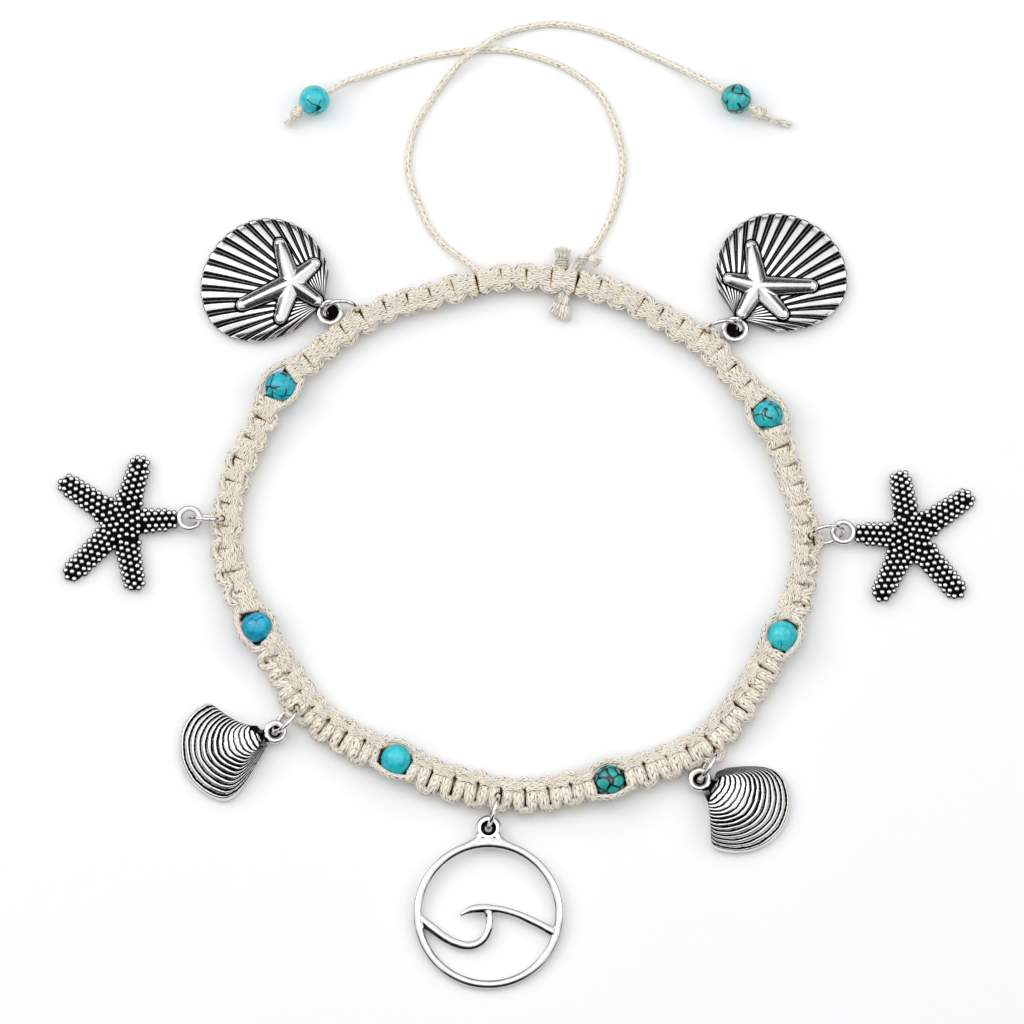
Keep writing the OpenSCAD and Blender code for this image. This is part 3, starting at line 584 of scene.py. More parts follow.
# The cords of one knot on the upper face; the lower face is the same turned over.
# Rows: share of a knot along, angle from the top, share of the way out, width against the
# block's or in millimetres, half thickness, painted shade.
BLOCK = mirrored([
    [-0.447, -48, 0.5, 0.98, 0.2, 1], [-0.441, -48, 0.6, 1.08, 0.28, 0.9],
    [-0.42, -48, 0.66, 1.16, 0.36, 0.3], [-0.34, -48, 0.71, 1.1, 0.44, 0],
    [-0.18, -48, 0.75, 0.92, 0.49, 0], [0.0, -48, 0.76, 0.86, 0.5, 0],
])
# A loop over the junction of two knots: where the band lies flat, with its two legs, where
# it is rolled so that the loop is at the side, and on the inner side
LOOP_FLAT = np.array([
    [-0.3, -44, 0.5, 0.7, 0.34, 0.3], [-0.285, -12, 0.68, 0.76, 0.42, 0], [-0.265, 16, 0.78, 0.78, 0.44, 0],
    [-0.25, 36, 0.81, 0.7, 0.45, 0], [-0.17, 54, 0.84, 0.6, 0.48, 0], [0.0, 62, 0.85, 0.58, 0.5, 0],
])
LOOP_SIDE = np.array([
    [-0.48, -14, 0.58, 0.36, 0.3, 0.3], [-0.45, -6, 0.67, 0.42, 0.36, 0], [-0.37, 6, 0.74, 0.48, 0.4, 0],
    [-0.26, 19, 0.79, 0.52, 0.44, 0], [-0.12, 30, 0.82, 0.56, 0.46, 0], [0.0, 34, 0.82, 0.57, 0.47, 0],
])
LOOP_INNER = np.array([
    [-0.49, 108, 0.58, 0.36, 0.3, 0.3], [-0.45, 100, 0.67, 0.42, 0.36, 0], [-0.36, 90, 0.75, 0.48, 0.4, 0],
    [-0.25, 80, 0.81, 0.52, 0.44, 0], [-0.12, 73, 0.85, 0.55, 0.46, 0], [0.0, 70, 0.86, 0.56, 0.47, 0],
])
# A block's section: strands that lie side by side, across and up
STRANDS = mirrored([[0.98, 0.45], [0.88, 0.78], [0.7, 0.93], [0.52, 0.84], [0.33, 0.99], [0.14, 0.86],
                    [0.0, 1.0]])
STRANDS += [[-c, -s] for c, s in STRANDS]
# Step along a cord in millimetres, and the sides of its section
FINE, COARSE = (0.16, 14), (0.3, 10)
YARN_W = 0.32
FULL_PITCH = 3.2
# The shade between the knots: how deep a share of the way out is in millimetres, and the
# shares where the shade begins and is full
SHARE_MM, GAP_SHADE = 1.45, (0.6, 0.3)


def knot_cords(cords, centres, pitch, face, quality, spread, seed):
    """Blocks and loops for a row of knots whose middles are given; face 1 is the upper one."""
    step, sides = quality
    draw = random.Random(seed)
    turned = 0 if face > 0 else 180

    def run(rows, widths, section, around):
        rows = np.array(rows)
        s, angle, out, width, thick, dark = smooth_line(
            np.column_stack([rows[:, 0], rows[:, 1] / 40, rows[:, 2:]]), step).T
        places, up = on_band(s, angle * 40 + turned, out * spread)
        half_w = width * widths(s)
        cords.lay(places, up, half_w, thick, section, 0.0, 0.78, draw.uniform(0, 3),
                  2 * max(2, round(4 * half_w.max() / YARN_W / 2 + 0.5)))
        # Painted shade, deep between the knots, by the share of the way out from the band's middle
        deep = fade(out[:, None] + thick[:, None] * around / SHARE_MM, *GAP_SHADE)
        cords.gaps[-1] = np.maximum(deep, dark[:, None]).ravel()

    for c in centres:
        skew, lift, swell, shift = (draw.gauss(*v) for v in ((0, 8), (0, 0.025), (1, 0.065), (0, 0.014)))
        rows = [[c + (r[0] + shift) * pitch, r[1] + skew * r[0] + lift * 150, r[2] + lift, *r[3:]]
                for r in BLOCK]
        run(rows, lambda s: swell * spread * way_round(s, 2), STRANDS, np.array(STRANDS)[:, 1])
    side = LOOP_SIDE if face > 0 else LOOP_INNER
    for c in [centres[0] - pitch] + centres:
        skew, lift, swell, shift = (draw.gauss(*v) for v in ((0, 4), (0, 0.035), (1, 0.08), (0, 0.022)))
        share = fade(way_round(c, 1), 24, 33) if face > 0 else 1.0
        rows = np.array(mirrored((LOOP_FLAT + (side - LOOP_FLAT) * share).tolist()))
        rows = np.column_stack([c + (rows[:, 0] + 0.5 + shift) * pitch, rows[:, 1] + skew, rows[:, 2] + lift,
                                rows[:, 3] * pitch / FULL_PITCH, rows[:, 4:]])
        # Half a loop at each end of the row
        if c < centres[0]:
            rows = rows[6:]
        elif c == centres[-1]:
            rows = rows[:5]
        run(rows, lambda s: swell, sides, np.sin(np.arange(sides) * 2 * math.pi / sides))


# Each charm: x and y of its eye, the radius of the eye's middle, the ring's heading from the
# band out, the band's own outward heading, the ring's lean from flat, the heading of the
# charm's length, and how far back from the eye the ring's middle is, and the cord loop
Charm = namedtuple("Charm", "x y eye_r ring_way band_way lean way ring_back loop_back")
CHARMS = {
    "scallop_left": Charm(-25.0, 30.7, 1.48, 180, 120, 118, 160, 1.55, 2.75),
    "starfish_left": Charm(-43.7, 2.8, 1.35, 178, 178, 75, 183, 2.25, 3.15),
    "clam_left": Charm(-32.2, -26.1, 1.2, 230, 216, 66, 200, 2.1, 3.0),
    "wave_disc": Charm(-3.8, -39.1, 1.35, 253, 262, 85, 270, 2.25, 3.15),
    "clam_right": Charm(24.3, -32.5, 1.2, 239, 295, 75, -31, 2.1, 3.0),
    "starfish_right": Charm(43.5, 0.9, 1.35, 12, 2, 70, -3, 2.25, 3.15),
    "scallop_right": Charm(29.1, 28.4, 1.48, 8, 50, 68, 45, 1.55, 2.75),
}
EYE_Z, EYE_WIRE_R = 1.55, 0.42
RING_R, RING_WIRE_R = 2.2, 0.3
RING_NEAR = 4.0
RING_SHADE = 0.62, 0.32
PRESSING_EYES = ["scallop_left", "clam_right"]
LOOP_REACH, LOOP_DEPTH = 1.9, 1.2
# The strand that a jump ring hangs on: shares of the reach and of the depth, and its height
RING_LOOP = mirrored([[-1.15, 1.5, -0.2], [-0.95, 0.9, 0], [-0.55, 0.2, 0], [0, 0, 0]])


def eye_place(c):
    return np.array([c.x, c.y, EYE_Z])


def pushed_from_rings(cords):
    """Cord gives way round the wire of each jump ring, and is in its shadow."""
    points = np.vstack(cords.points)
    shade = np.concatenate(cords.gaps)
    for c in CHARMS.values():
        centre = eye_place(c) - heading(c.ring_way) * c.ring_back
        tilt = math.radians(c.lean)
        centre[2] = RING_R * math.sin(tilt) + RING_WIRE_R + FLOOR_GAP
        axis = UP * math.cos(tilt) - np.cross(UP, heading(c.ring_way)) * math.sin(tilt)
        near = np.linalg.norm(points - centre, axis=1) < RING_NEAR
        part = points[near] - centre
        nearest = unit(part - (part @ axis)[:, None] * axis) * RING_R
        away = part - nearest
        far = np.linalg.norm(away, axis=1)
        room = RING_WIRE_R + 0.05
        inside = far < room
        part[inside] = nearest[inside] + unit(away[inside]) * room
        points[near] = centre + part
        shade[near] = np.maximum(shade[near], fade(far, *RING_SHADE))
    # Two eyes press into the knots beside them
    for eye in (CHARMS[name] for name in PRESSING_EYES):
        rel = points - eye_place(eye)
        out = np.linalg.norm(rel[:, :2], axis=1)
        room = eye.eye_r + EYE_WIRE_R + 0.06
        pressed = (out < room) & (out > 0.3) & (np.abs(rel[:, 2]) < EYE_WIRE_R + 0.5)
        points[pressed, :2] += rel[pressed, :2] / out[pressed, None] * (room - out[pressed])[:, None]
    cords.points, cords.gaps = [points], [shade]


def ring_loop(cords, c, quality):
    """The strand of the band's edge that a jump ring hangs on."""
    mid = eye_place(c) - heading(c.ring_way) * c.loop_back
    edge, inward = heading((c.ring_way + c.band_way) / 2 + 90), -heading(c.band_way)
    rows = [mid + edge * LOOP_REACH * k + inward * LOOP_DEPTH * d + UP * up for k, d, up in RING_LOOP]
    # The last number is a little painted shade on the strand
    cords.lay(smooth_line(rows, quality[0]), UP, 0.46, 0.42, quality[1], 0.05)


# A working cord that bulges round a bead: along, out, up from the bead's middle, half width
BULGE = mirrored([[-4.5, 0.8, -0.5, 0.4], [-3.7, 1.15, -0.15, 0.46], [-2.9, 1.52, 0.2, 0.5],
                  [-1.9, 1.98, 0.56, 0.54], [-1.0, 2.28, 0.7, 0.56], [0.0, 2.42, 0.74, 0.56]])
LOOSE_STRETCHES, LOOSE = (2, 3, 4), 1.06
# The core cords: their place on the section, size against the band's, step, sides and shade
CORE_AT, CORE_SHARE, CORE_STEP, CORE_SIDES = (-48, 0.02), 0.56, 0.4, 12
CORE_SHADE, BESIDE_BEAD_SHADE = 0.75, 1.85


def beside_bead(at, along_cord, out, up):
    """Places by a bead, from how far they are along the band's line, out from it and up."""
    (x, y), (tx, ty) = band_point(np.array(at)), band_tangent(np.array(at))
    return np.stack([x + tx * along_cord + ty * out, y + ty * along_cord - tx * out, BEAD_Z + up], 1)


def band():
    face_up, face_down, inner = Cords(), Cords(), Cords()
    ends = [SLIDE_LEFT + TAIL_GAP] + BEAD_AT + [BAND_LENGTH + SLIDE_RIGHT - TAIL_GAP]
    last = len(STRETCH_KNOTS) - 1
    for i, count in enumerate(STRETCH_KNOTS):
        start = ends[i] + (BEAD_CLEAR if i else 0)
        end = ends[i + 1] - (BEAD_CLEAR if i < last else 0)
        pitch = (end - start) / count
        middles = [start + (k + 0.5) * pitch for k in range(count)]
        # The knots are tied looser in the lower half of the loop
        spread = LOOSE if i in LOOSE_STRETCHES else 1.0
        knot_cords(face_up, middles, pitch, 1, FINE, spread, i + 1)
        knot_cords(face_down, middles, pitch, -1, COARSE, spread, i + 30)
        s = np.arange(start + (0.2 if i else 0.8), end - (0.1 if i < last else 0.7), CORE_STEP)
        inner.lay(*on_band(s, *CORE_AT), wide(s) * CORE_SHARE, HALF_T * CORE_SHARE, CORE_SIDES)
        # Lighter where the blocks turn over from the band's edge to its middle, and black
        # beside a bead, where no light gets in
        roll = way_round(s, 1)
        shade = CORE_SHADE - 0.5 * fade(roll, 18, 22) * fade(roll, 41, 39)
        from_bead = np.abs(s[:, None] - np.array(BEAD_AT)).min(1)
        shade = np.where(from_bead < BEAD_CLEAR + 0.7, BESIDE_BEAD_SHADE, shade)
        inner.gaps[-1] = np.repeat(shade, CORE_SIDES)
    for at in BEAD_AT:
        for side in (-1, 1):
            path = smooth_line([[x, side * n, z, w] for x, n, z, w in BULGE], FINE[0])
            places = beside_bead(at, *path.T[:3])
            middle = [*band_point(np.array(at)), BEAD_Z]
            face_up.lay(places, places - middle, path[:, 3], 0.42, FINE[1], columns=8)
        s = np.arange(-BEAD_CLEAR - 0.5, BEAD_CLEAR + 0.5, CORE_STEP)
        inner.lay(beside_bead(at, s, 0 * s, 0 * s), UP, 0.5, 0.5, 8, BESIDE_BEAD_SHADE)
    for c in CHARMS.values():
        ring_loop(face_up, c, FINE)
    for cords, name in ((face_up, "upper"), (face_down, "lower"), (inner, "core")):
        pushed_from_rings(cords)
        cords.piece("band_%s_cords" % name, knot_cotton, "knotted_band")


band()


def sleeve():
    cords, under, inner = Cords(), Cords(), Cords()
    # Its end cords lie on the tails where they come out
    over = 0.95
    pitch = (SLIDE_LEFT - SLIDE_RIGHT + 2 * over) / SLIDE_KNOTS
    middles = [SLIDE_RIGHT - over + (k + 0.5) * pitch for k in range(SLIDE_KNOTS)]
    knot_cords(cords, middles, pitch, 1, FINE, 0.95, 71)
    knot_cords(under, middles, pitch, -1, COARSE, 0.95, 72)
    s = np.arange(SLIDE_RIGHT + 0.1, SLIDE_LEFT - 0.1, CORE_STEP)
    inner.lay(*on_band(s, *CORE_AT), 1.05, 0.7, CORE_SIDES, CORE_SHADE)
    join([c.piece("slide_" + n, knot_cotton, "slide_knot")
          for c, n in ((cords, "cords"), (under, "lower_cords"), (inner, "core_cords"))], "slide_knot_cords")


sleeve()

# The sleeve's trimmed and frayed ends: wraps that bind it, seed, rows of x, y, z, radius
TRIMMED_ENDS = {
    "upper": (4, 200, [[5.7, 35.2, 1.3, 0.7], [5.85, 36.5, 1.35, 0.82], [6.0, 38.1, 1.15, 0.85],
                       [6.1, 39.5, 1.1, 1.05]]),
    "lower_1": (0, 300, [[6.3, 34.8, 1.3, 0.75], [6.1, 33.4, 1.35, 0.9], [5.5, 31.9, 1.2, 0.75],
                         [4.9, 30.4, 1.0, 0.8]]),
    "lower_2": (0, 350, [[6.3, 34.8, 1.2, 0.75], [6.3, 33.2, 1.2, 0.95], [6.5, 31.6, 1.1, 0.85],
                         [6.2, 29.8, 0.95, 0.8]]),
    "side": (0, 400, [[6.4, 35.3, 1.5, 0.45], [8.4, 37.9, 2.9, 0.5], [9.7, 37.8, 3.4, 0.6],
                      [11.0, 37.0, 3.4, 0.85]]),
}
# A wrap's reach across an end and up, as shares of the end's radius
WRAP_ACROSS, WRAP_UP = np.array([1, 0.05, 0]), np.array([0, 0.102, 0.85])


def trimmed_end(name, wraps, seed, rows):
    loose, bound = Cords(), Cords()
    for a, b in zip(rows, rows[1:]):
        last = b is rows[-1]
        threads(loose, [*a[:3], a[3] * 0.75], [*b[:3], b[3] * (1.15 if last else 0.8)], 60 if last else 40,
                seed + len(loose.points), 0.09, 0.2 if last else 0.1)
    pieces = [loose.piece(name, yarn, "slide_knot")]
    for k in range(wraps):
        a, b, r = np.array(rows[1][:3]), np.array(rows[2][:3]), rows[1][3]
        mid = a + (b - a) * (0.1 + 0.9 * k / wraps)
        path = smooth_line([mid + r * (math.cos(t) * WRAP_ACROSS + math.sin(t) * WRAP_UP)
                            for t in np.linspace(0, 2 * math.pi, 17)], 0.2)
        # The last number is a little painted shade on the wraps
        bound.lay(path, path - mid, 0.16, 0.1, 6, 0.05)
    if wraps:
        pieces.append(bound.piece(name + "_binding", tail_cotton, "slide_knot"))
    join(pieces, name)


for name, row in TRIMMED_ENDS.items():
    trimmed_end("trimmed_end_" + name, *row)


# ---- Cast charms ----
# Each is drawn with its eye at the origin, its length along +X and its face up.
def ball(r, place):
    pick()
    bpy.ops.mesh.primitive_ico_sphere_add(subdivisions=3, radius=r, location=place)
    return bpy.context.object


def taper(a, b, r1, r2, sides=20):
    """A cone's frustum from a to b."""
    pick()
    a, b = Vector(a), Vector(b)
    turn = (b - a).to_track_quat("Z", "Y").to_euler()
    bpy.ops.mesh.primitive_cone_add(vertices=sides, radius1=r1, radius2=r2, depth=(b - a).length,
                                    location=(a + b) / 2, rotation=turn)
    return bpy.context.object


def ring(major):
    """The ring of a cast eye, a little higher than it is wide."""
    pick()
    bpy.ops.mesh.primitive_torus_add(major_segments=56, minor_segments=18, major_radius=major,
                                     minor_radius=EYE_WIRE_R)
    bpy.ops.transform.resize(value=(1, 1, 1.05), center_override=(0, 0, 0))
    bpy.ops.object.transform_apply(location=False, rotation=False, scale=True)
    return bpy.context.object


def rod(rows, section=16, flat=1.0):
    """A bent bar through rows of x, y, z, radius; flat is its height against its width."""
    path = smooth_line(rows, 0.2)
    bar = Cords()
    bar.lay(path[:, :3], UP, path[:, 3], path[:, 3] * flat, section)
    return bar.mesh("rod", 1.0)


def modified(piece, kind, **settings):
    """Gives a piece a modifier and applies it."""
    made = piece.modifiers.new(kind.lower(), kind)
    for name, value in settings.items():
        setattr(made, name, value)
    pick(piece)
    bpy.ops.object.modifier_apply(modifier=made.name)
    return piece


def melted(pieces, voxel, passes=3):
    """Joins pieces into one cast skin with soft inner corners."""
    whole = join(pieces, "casting")
    bpy.ops.object.transform_apply(location=True, rotation=True, scale=True)
    modified(whole, "REMESH", mode="VOXEL", voxel_size=voxel)
    return modified(whole, "SMOOTH", factor=0.5, iterations=passes)


def cut_flat(piece, z):
    """Cuts a piece off flat below z and closes it."""
    pick(piece)
    bpy.ops.object.mode_set(mode="EDIT")
    bpy.ops.mesh.select_all(action="SELECT")
    bpy.ops.mesh.bisect(plane_co=(0, 0, z), plane_no=(0, 0, 1), clear_inner=True, use_fill=True)
    bpy.ops.object.mode_set(mode="OBJECT")
    return piece


def fan_grid(columns, steps, shape, back):
    """A shell's face: a grid whose columns run from the beak to the edge, with its rim turned
    down to a flat back. shape gives x, y, z and the patina from the shares across and along."""
    pick()
    bpy.ops.mesh.primitive_grid_add(x_subdivisions=columns, y_subdivisions=steps, size=1)
    made = bpy.context.object
    across, outward, _ = kept(made.data.vertices, "co", 3).T + 0.5
    *place, black = shape(across, outward)
    made.data.vertices.foreach_set("co", np.stack(place, 1).ravel())
    keep(made.data, "black", black)
    bpy.ops.object.mode_set(mode="EDIT")
    bpy.ops.mesh.select_all(action="SELECT")
    bpy.ops.mesh.region_to_loop()
    bpy.ops.mesh.extrude_region_move()
    bpy.ops.transform.resize(value=(1, 1, 0), center_override=(0, 0, -back))
    bpy.ops.mesh.edge_face_add()
    bpy.ops.mesh.select_all(action="SELECT")
    bpy.ops.mesh.normals_make_consistent(inside=False)
    bpy.ops.object.mode_set(mode="OBJECT")
    return made


def tree_of(mesh):
    return BVHTree.FromPolygons([v.co for v in mesh.vertices], [tuple(f.vertices) for f in mesh.polygons])


# How a patina ray leans from the surface, and how many lean so
RAY_LEANS = [(0.35, 3), (0.85, 6), (1.25, 5)]
RAYS = [Vector((math.cos(a) * math.sin(e), math.sin(a) * math.sin(e), math.cos(e)))
        for e, n in RAY_LEANS for a in [2 * math.pi * (k + 0.3 * n) / n for k in range(n)]]
RAY_START = 0.012


def patina(piece, reach):
    """Keeps how far each point is shut in by its surroundings, for the black patina."""
    mesh = piece.data
    tree = tree_of(mesh)
    recess = np.zeros(len(mesh.vertices))
    for i, (place, normal) in enumerate(zip(kept(mesh.vertices, "co", 3), kept(mesh.vertices, "normal", 3))):
        normal = Vector(normal)
        turn = Vector((0, 0, 1)).rotation_difference(normal)
        start = Vector(place) + normal * RAY_START
        shut = 0.0
        for ray in RAYS:
            hit = tree.ray_cast(start, turn @ ray, reach)
            if hit[3] is not None:
                shut += 1 - 0.6 * hit[3] / reach
        recess[i] = shut / len(RAYS)
    recess = np.clip(recess * 1.5, 0, 1)
    # What is painted black already stays so, and what is below 0 stays bright but for that
    if "black" in mesh.attributes:
        black = kept(mesh.attributes["black"].data, "value")
        recess = np.maximum(recess * (black >= 0), np.abs(black))
    keep(mesh, "recess", recess)
    return piece


def placed(piece, name, length, back, turned_over=False):
    """Lays a charm on the surface at its far end and on its jump ring at its eye."""
    c = CHARMS[name]
    tilt = math.asin((EYE_Z - back - FLOOR_GAP) / length)
    turn = Matrix.Rotation(math.radians(c.way), 4, "Z") @ Matrix.Rotation(tilt, 4, "Y")
    size = Matrix.Diagonal((MM, -MM if turned_over else MM, MM, 1))
    piece.data.transform(Matrix.Translation(Vector(eye_place(c)) * MM) @ turn @ size)
    if turned_over:
        piece.data.flip_normals()
    piece.data.polygons.foreach_set("use_smooth", np.full(len(piece.data.polygons), True))
    piece.name = name + "_casting"
    piece.data.update()
    dressed(piece, silver, name)


def eye_step(outer, hole, x=0.0, y=0.0, z=-0.3):
    """A black step inside a cast eye, painted shade that makes the hole look dark, open where the jump ring's
    wire passes.
    """
    count, half_t = 32, 0.06
    turn = np.arange(count) * 2 * math.pi / count
    circle = np.stack([np.cos(turn), np.sin(turn)], 1)
    points = np.vstack([np.column_stack([flat, np.full(count, z + up)]) for flat, up in (
        (circle * outer, -half_t), (circle * outer, half_t),
        (circle * hole + [x, y], half_t), (circle * hole + [x, y], -half_t))])
    faces = [[r * count + k, r * count + (k + 1) % count, (r + 1) % 4 * count + (k + 1) % count,
              (r + 1) % 4 * count + k] for r in range(4) for k in range(count)]
    mesh = bpy.data.meshes.new("eye_step")
    mesh.from_pydata(points.tolist(), [], faces)
    # Painted shade: near black all over
    keep(mesh, "recess", np.full(len(points), 0.9))
    return in_scene("eye_step", mesh)


def twin(piece):
    return in_scene(piece.name, piece.data.copy())


# A cast arm's section: a crest with sloping sides
CRESTED = [[1, -0.1], [0.9, 0.2], [0.55, 0.62], [0.14, 1], [-0.14, 1], [-0.55, 0.62], [-0.9, 0.2], [-1, -0.1],
           [-0.9, -0.7], [0.9, -0.7]]
EYE_VOXEL, STAR_VOXEL, BODY_VOXEL, DISC_VOXEL = 0.11, 0.095, 0.16, 0.1

# The fan shell: flat bright ribs, and between them black grooves with a fine thread of metal.
# Its edge about the beak: heading, reach.
SCALLOP_D, SCALLOP_T, SCALLOP_BACK, SCALLOP_RIM_T = 17, 2.4, 0.5, 0.7
SCALLOP_EYE_R = 1.48
BEAK_X, BEAK_Y = 1.2, 0.9
FAN_EDGE = [
    [-64, 5.2], [-58, 7.4], [-52, 9.6], [-46, 11.5], [-40, 13.2], [-34, 14.5], [-28, 15.4],
    [-16, 16.4], [-4, 16.7], [8, 16.4], [20, 15.7], [32, 14.5], [44, 12.6], [56, 10.1],
    [68, 7.0], [78, 4.4],
]
FAN_DROOP = 78
FAN_RIBS, RIB_COLUMNS, FAN_STEPS = 22, 16, 60
RIB_H = 0.34
# A rib's height, and the black in the groove, from its crown at 0 to the groove's middle at 0.5
RIB_PROFILE = [0, 0.2, 0.27, 0.31, 0.34, 0.4, 0.43, 0.5], [1, 0.98, 0.92, 0.2, 0, 0, 0.45, 0.55]
GROOVE_BLACK = [0, 0.255, 0.29, 0.405, 0.435, 0.5], [0, 0, 1, 1, 0.55, 0.45]
# The starfish cast on it: each arm's heading and length, and its middle
CAST_STAR = [[54, 6.2], [120, 4.6], [194, 4.7], [267, 5.6], [316, 7.8]]
CAST_STAR_AT = (6.0, 1.75)
STAR_RISE, STAR_HALF_W, STAR_THIN, STAR_TIP_R, STAR_FLAT = 0.34, 1.42, 0.045, 0.8, 0.6
fan_edge = smooth_line([[a, r, 0] for a, r in FAN_EDGE], 0.5)


def fan_shape(across, t):
    degrees = FAN_EDGE[-1][0] + (FAN_EDGE[0][0] - FAN_EDGE[-1][0]) * across
    a = np.radians(degrees)
    droop = np.cos(np.radians(FAN_DROOP * (1 - 2 * across)))
    t = 0.03 + 0.97 * t
    d = np.abs((across * FAN_RIBS) % 1 - 0.5)
    rib = np.interp(d, *RIB_PROFILE)
    reach = np.interp(degrees, fan_edge[:, 0], fan_edge[:, 1]) - 0.05 + 0.08 * rib
    dome = np.maximum(0, 1 - np.abs(t * 2 - 0.95) ** 2.2) ** 0.8 * np.sqrt(droop)
    z = SCALLOP_RIM_T + (SCALLOP_T - SCALLOP_RIM_T - 0.25) * dome
    z += RIB_H * (rib - 0.45) * np.minimum(1, t * 2.2) - SCALLOP_BACK
    black = np.where(t > 0.985, 0.3, np.interp(d, *GROOVE_BLACK)) * np.interp(t, [0, 0.1], [0.6, 1])
    # Darker near the beak
    black = np.maximum(black, np.interp(t, [0.12, 0.3], [0.42, 0]))
    return BEAK_X + reach * t * np.cos(a), BEAK_Y + reach * t * np.sin(a), z, black


def scallop():
    shell = fan_grid(FAN_RIBS * RIB_COLUMNS, FAN_STEPS, fan_shape, SCALLOP_BACK)
    tree = tree_of(shell.data)

    def shell_z(x, y):
        hit = tree.ray_cast(Vector((x, y, 5)), Vector((0, 0, -1)))[0]
        return hit.z if hit else 0.2

    x, y = CAST_STAR_AT
    parts = [ball(1.1, (x, y, shell_z(x, y) - 0.3))]
    shell_at = kept(shell.data.vertices, "co", 3)[:, :2] - [x, y]
    beside = np.full(len(shell_at), 9.0)
    for angle, length in CAST_STAR:
        c, s, _ = heading(angle)
        spots = [(length - 0.6) * k / 12 for k in range(13)]
        bend = np.polyfit(spots, [shell_z(x + out * c, y + out * s) for out in spots], 3)
        rows = [[x + out * c, y + out * s, float(np.polyval(bend, out)) + STAR_RISE,
                 STAR_HALF_W - STAR_THIN * k] for k, out in enumerate(spots)]
        parts.append(rod(rows, CRESTED, STAR_FLAT))
        out = np.clip(shell_at @ [c, s], 0, spots[-1])
        away = np.linalg.norm(shell_at - out[:, None] * [c, s], axis=1)
        beside = np.minimum(beside, away - np.interp(out, spots, [row[3] for row in rows]))
        parts.append(ball(STAR_TIP_R, rows[-1][:3]))
        bpy.ops.transform.resize(value=(1, 1, STAR_FLAT), center_override=rows[-1][:3])
    # A black line of painted shadow runs round the star's foot
    black = kept(shell.data.attributes["black"].data, "value")
    keep(shell.data, "black", np.maximum(black, 0.75 * fade(beside, 0.2, 0.12)))
    star = cut_flat(melted(parts, STAR_VOXEL), -SCALLOP_BACK + 0.05)
    stem = rod([[1.1, 0.2, 0.0, 0.5], [1.7, 0.6, 0.1, 0.6], [2.6, 1.0, 0.1, 0.5]])
    eye = melted([ring(SCALLOP_EYE_R), stem], EYE_VOXEL)
    whole = patina(join([shell, star, eye], "scallop"), 0.9)
    return join([whole, eye_step(1.45, 0.48, 0.57, -0.3)], "scallop")


# The starfish: soft arms covered with round grains
STAR_L_ARMS = [[180, 7.4], [251, 9.2], [321.5, 10.2], [42, 10.7], [98, 9.4]]
STAR_R_ARMS = [[180, 7.4], [247, 9.7], [314, 10.6], [38, 10.1], [102, 9.0]]
STAR_MIDDLE, STAR_REACH, STAR_BACK = 8.9, 8.0, 0.6
GRAIN_R, GRAIN_PITCH, GRAIN_RISE = 0.38, 0.93, 0.06
# Grains start past the eye
GRAINS_FROM = 1.9


def starfish(arms):
    parts = [ball(2.4, (STAR_MIDDLE, 0, -1.1))]
    for angle, length in arms:
        c, s, _ = heading(angle)
        tip = (STAR_MIDDLE + (length - 1.3) * c, (length - 1.3) * s, -0.42)
        parts += [taper((STAR_MIDDLE, 0, -0.75), tip, 1.95, 1.2), ball(1.2, tip)]
    body = melted(parts, BODY_VOXEL, 5)
    body.data.transform(Matrix.Translation((0, 0, -0.2)) @ Matrix.Diagonal((1, 1, 0.92, 1)))
    mesh = cut_flat(body, -STAR_BACK).data
    tree = tree_of(mesh)
    seats = []

    def clear_of(place, spacing):
        return place.x >= GRAINS_FROM and all((place - other).length > spacing for other in seats)

    def seat(x, y):
        hit = tree.ray_cast(Vector((x, y, 5)), Vector((0, 0, -1)))
        if hit[0] is None or hit[0].z < -STAR_BACK + 0.05:
            hit = tree.find_nearest(Vector((x, y, 0.1)))
        place = hit[0] + hit[1] * GRAIN_RISE
        if place.z >= -STAR_BACK + 0.3 and clear_of(place, GRAIN_PITCH * 0.8):
            seats.append(place)

    spots = sorted(((v.co.x - STAR_MIDDLE) ** 2 + v.co.y ** 2, v.index)
                   for v in mesh.vertices if v.co.z > -0.35)

    def fill(reach, spacing):
        for away, index in spots:
            place = mesh.vertices[index].co + mesh.vertices[index].normal * GRAIN_RISE
            if away < reach ** 2 and clear_of(place, spacing):
                seats.append(place)

    # The middle first, then rows along each arm, then wherever there is room
    seat(STAR_MIDDLE, 0)
    fill(2.6, GRAIN_PITCH * 0.93)
    for angle, length in arms:
        c, s, _ = heading(angle)
        for k in range(3, int((length - 0.3) / GRAIN_PITCH) + 1):
            for row in (0, -1, 1, -2, 2):
                out = k * GRAIN_PITCH * 0.98 + 0.35 - (abs(row) % 2) * GRAIN_PITCH / 2
                aside = row * GRAIN_PITCH * 0.84
                seat(STAR_MIDDLE + out * c - aside * s, out * s + aside * c)
    fill(20, GRAIN_PITCH * 0.8)
    keep(mesh, "recess", np.full(len(mesh.vertices), 0.95))
    grain = ball(GRAIN_R, (0, 0, 0))
    grain.data.transform(Matrix.Diagonal((1, 1, 0.82, 1)))
    # Bright on top, and black towards its foot
    high = kept(grain.data.vertices, "co", 3)[:, 2] / GRAIN_R
    keep(grain.data, "recess", np.clip(1.2 - high * 1.5, 0, 0.95))
    grains = []
    for place in seats:
        grains.append(twin(grain))
        grains[-1].data.transform(Matrix.Translation(place))
    bpy.data.objects.remove(grain)
    return join([body, patina(ring(1.35), 0.9)] + grains, "starfish")


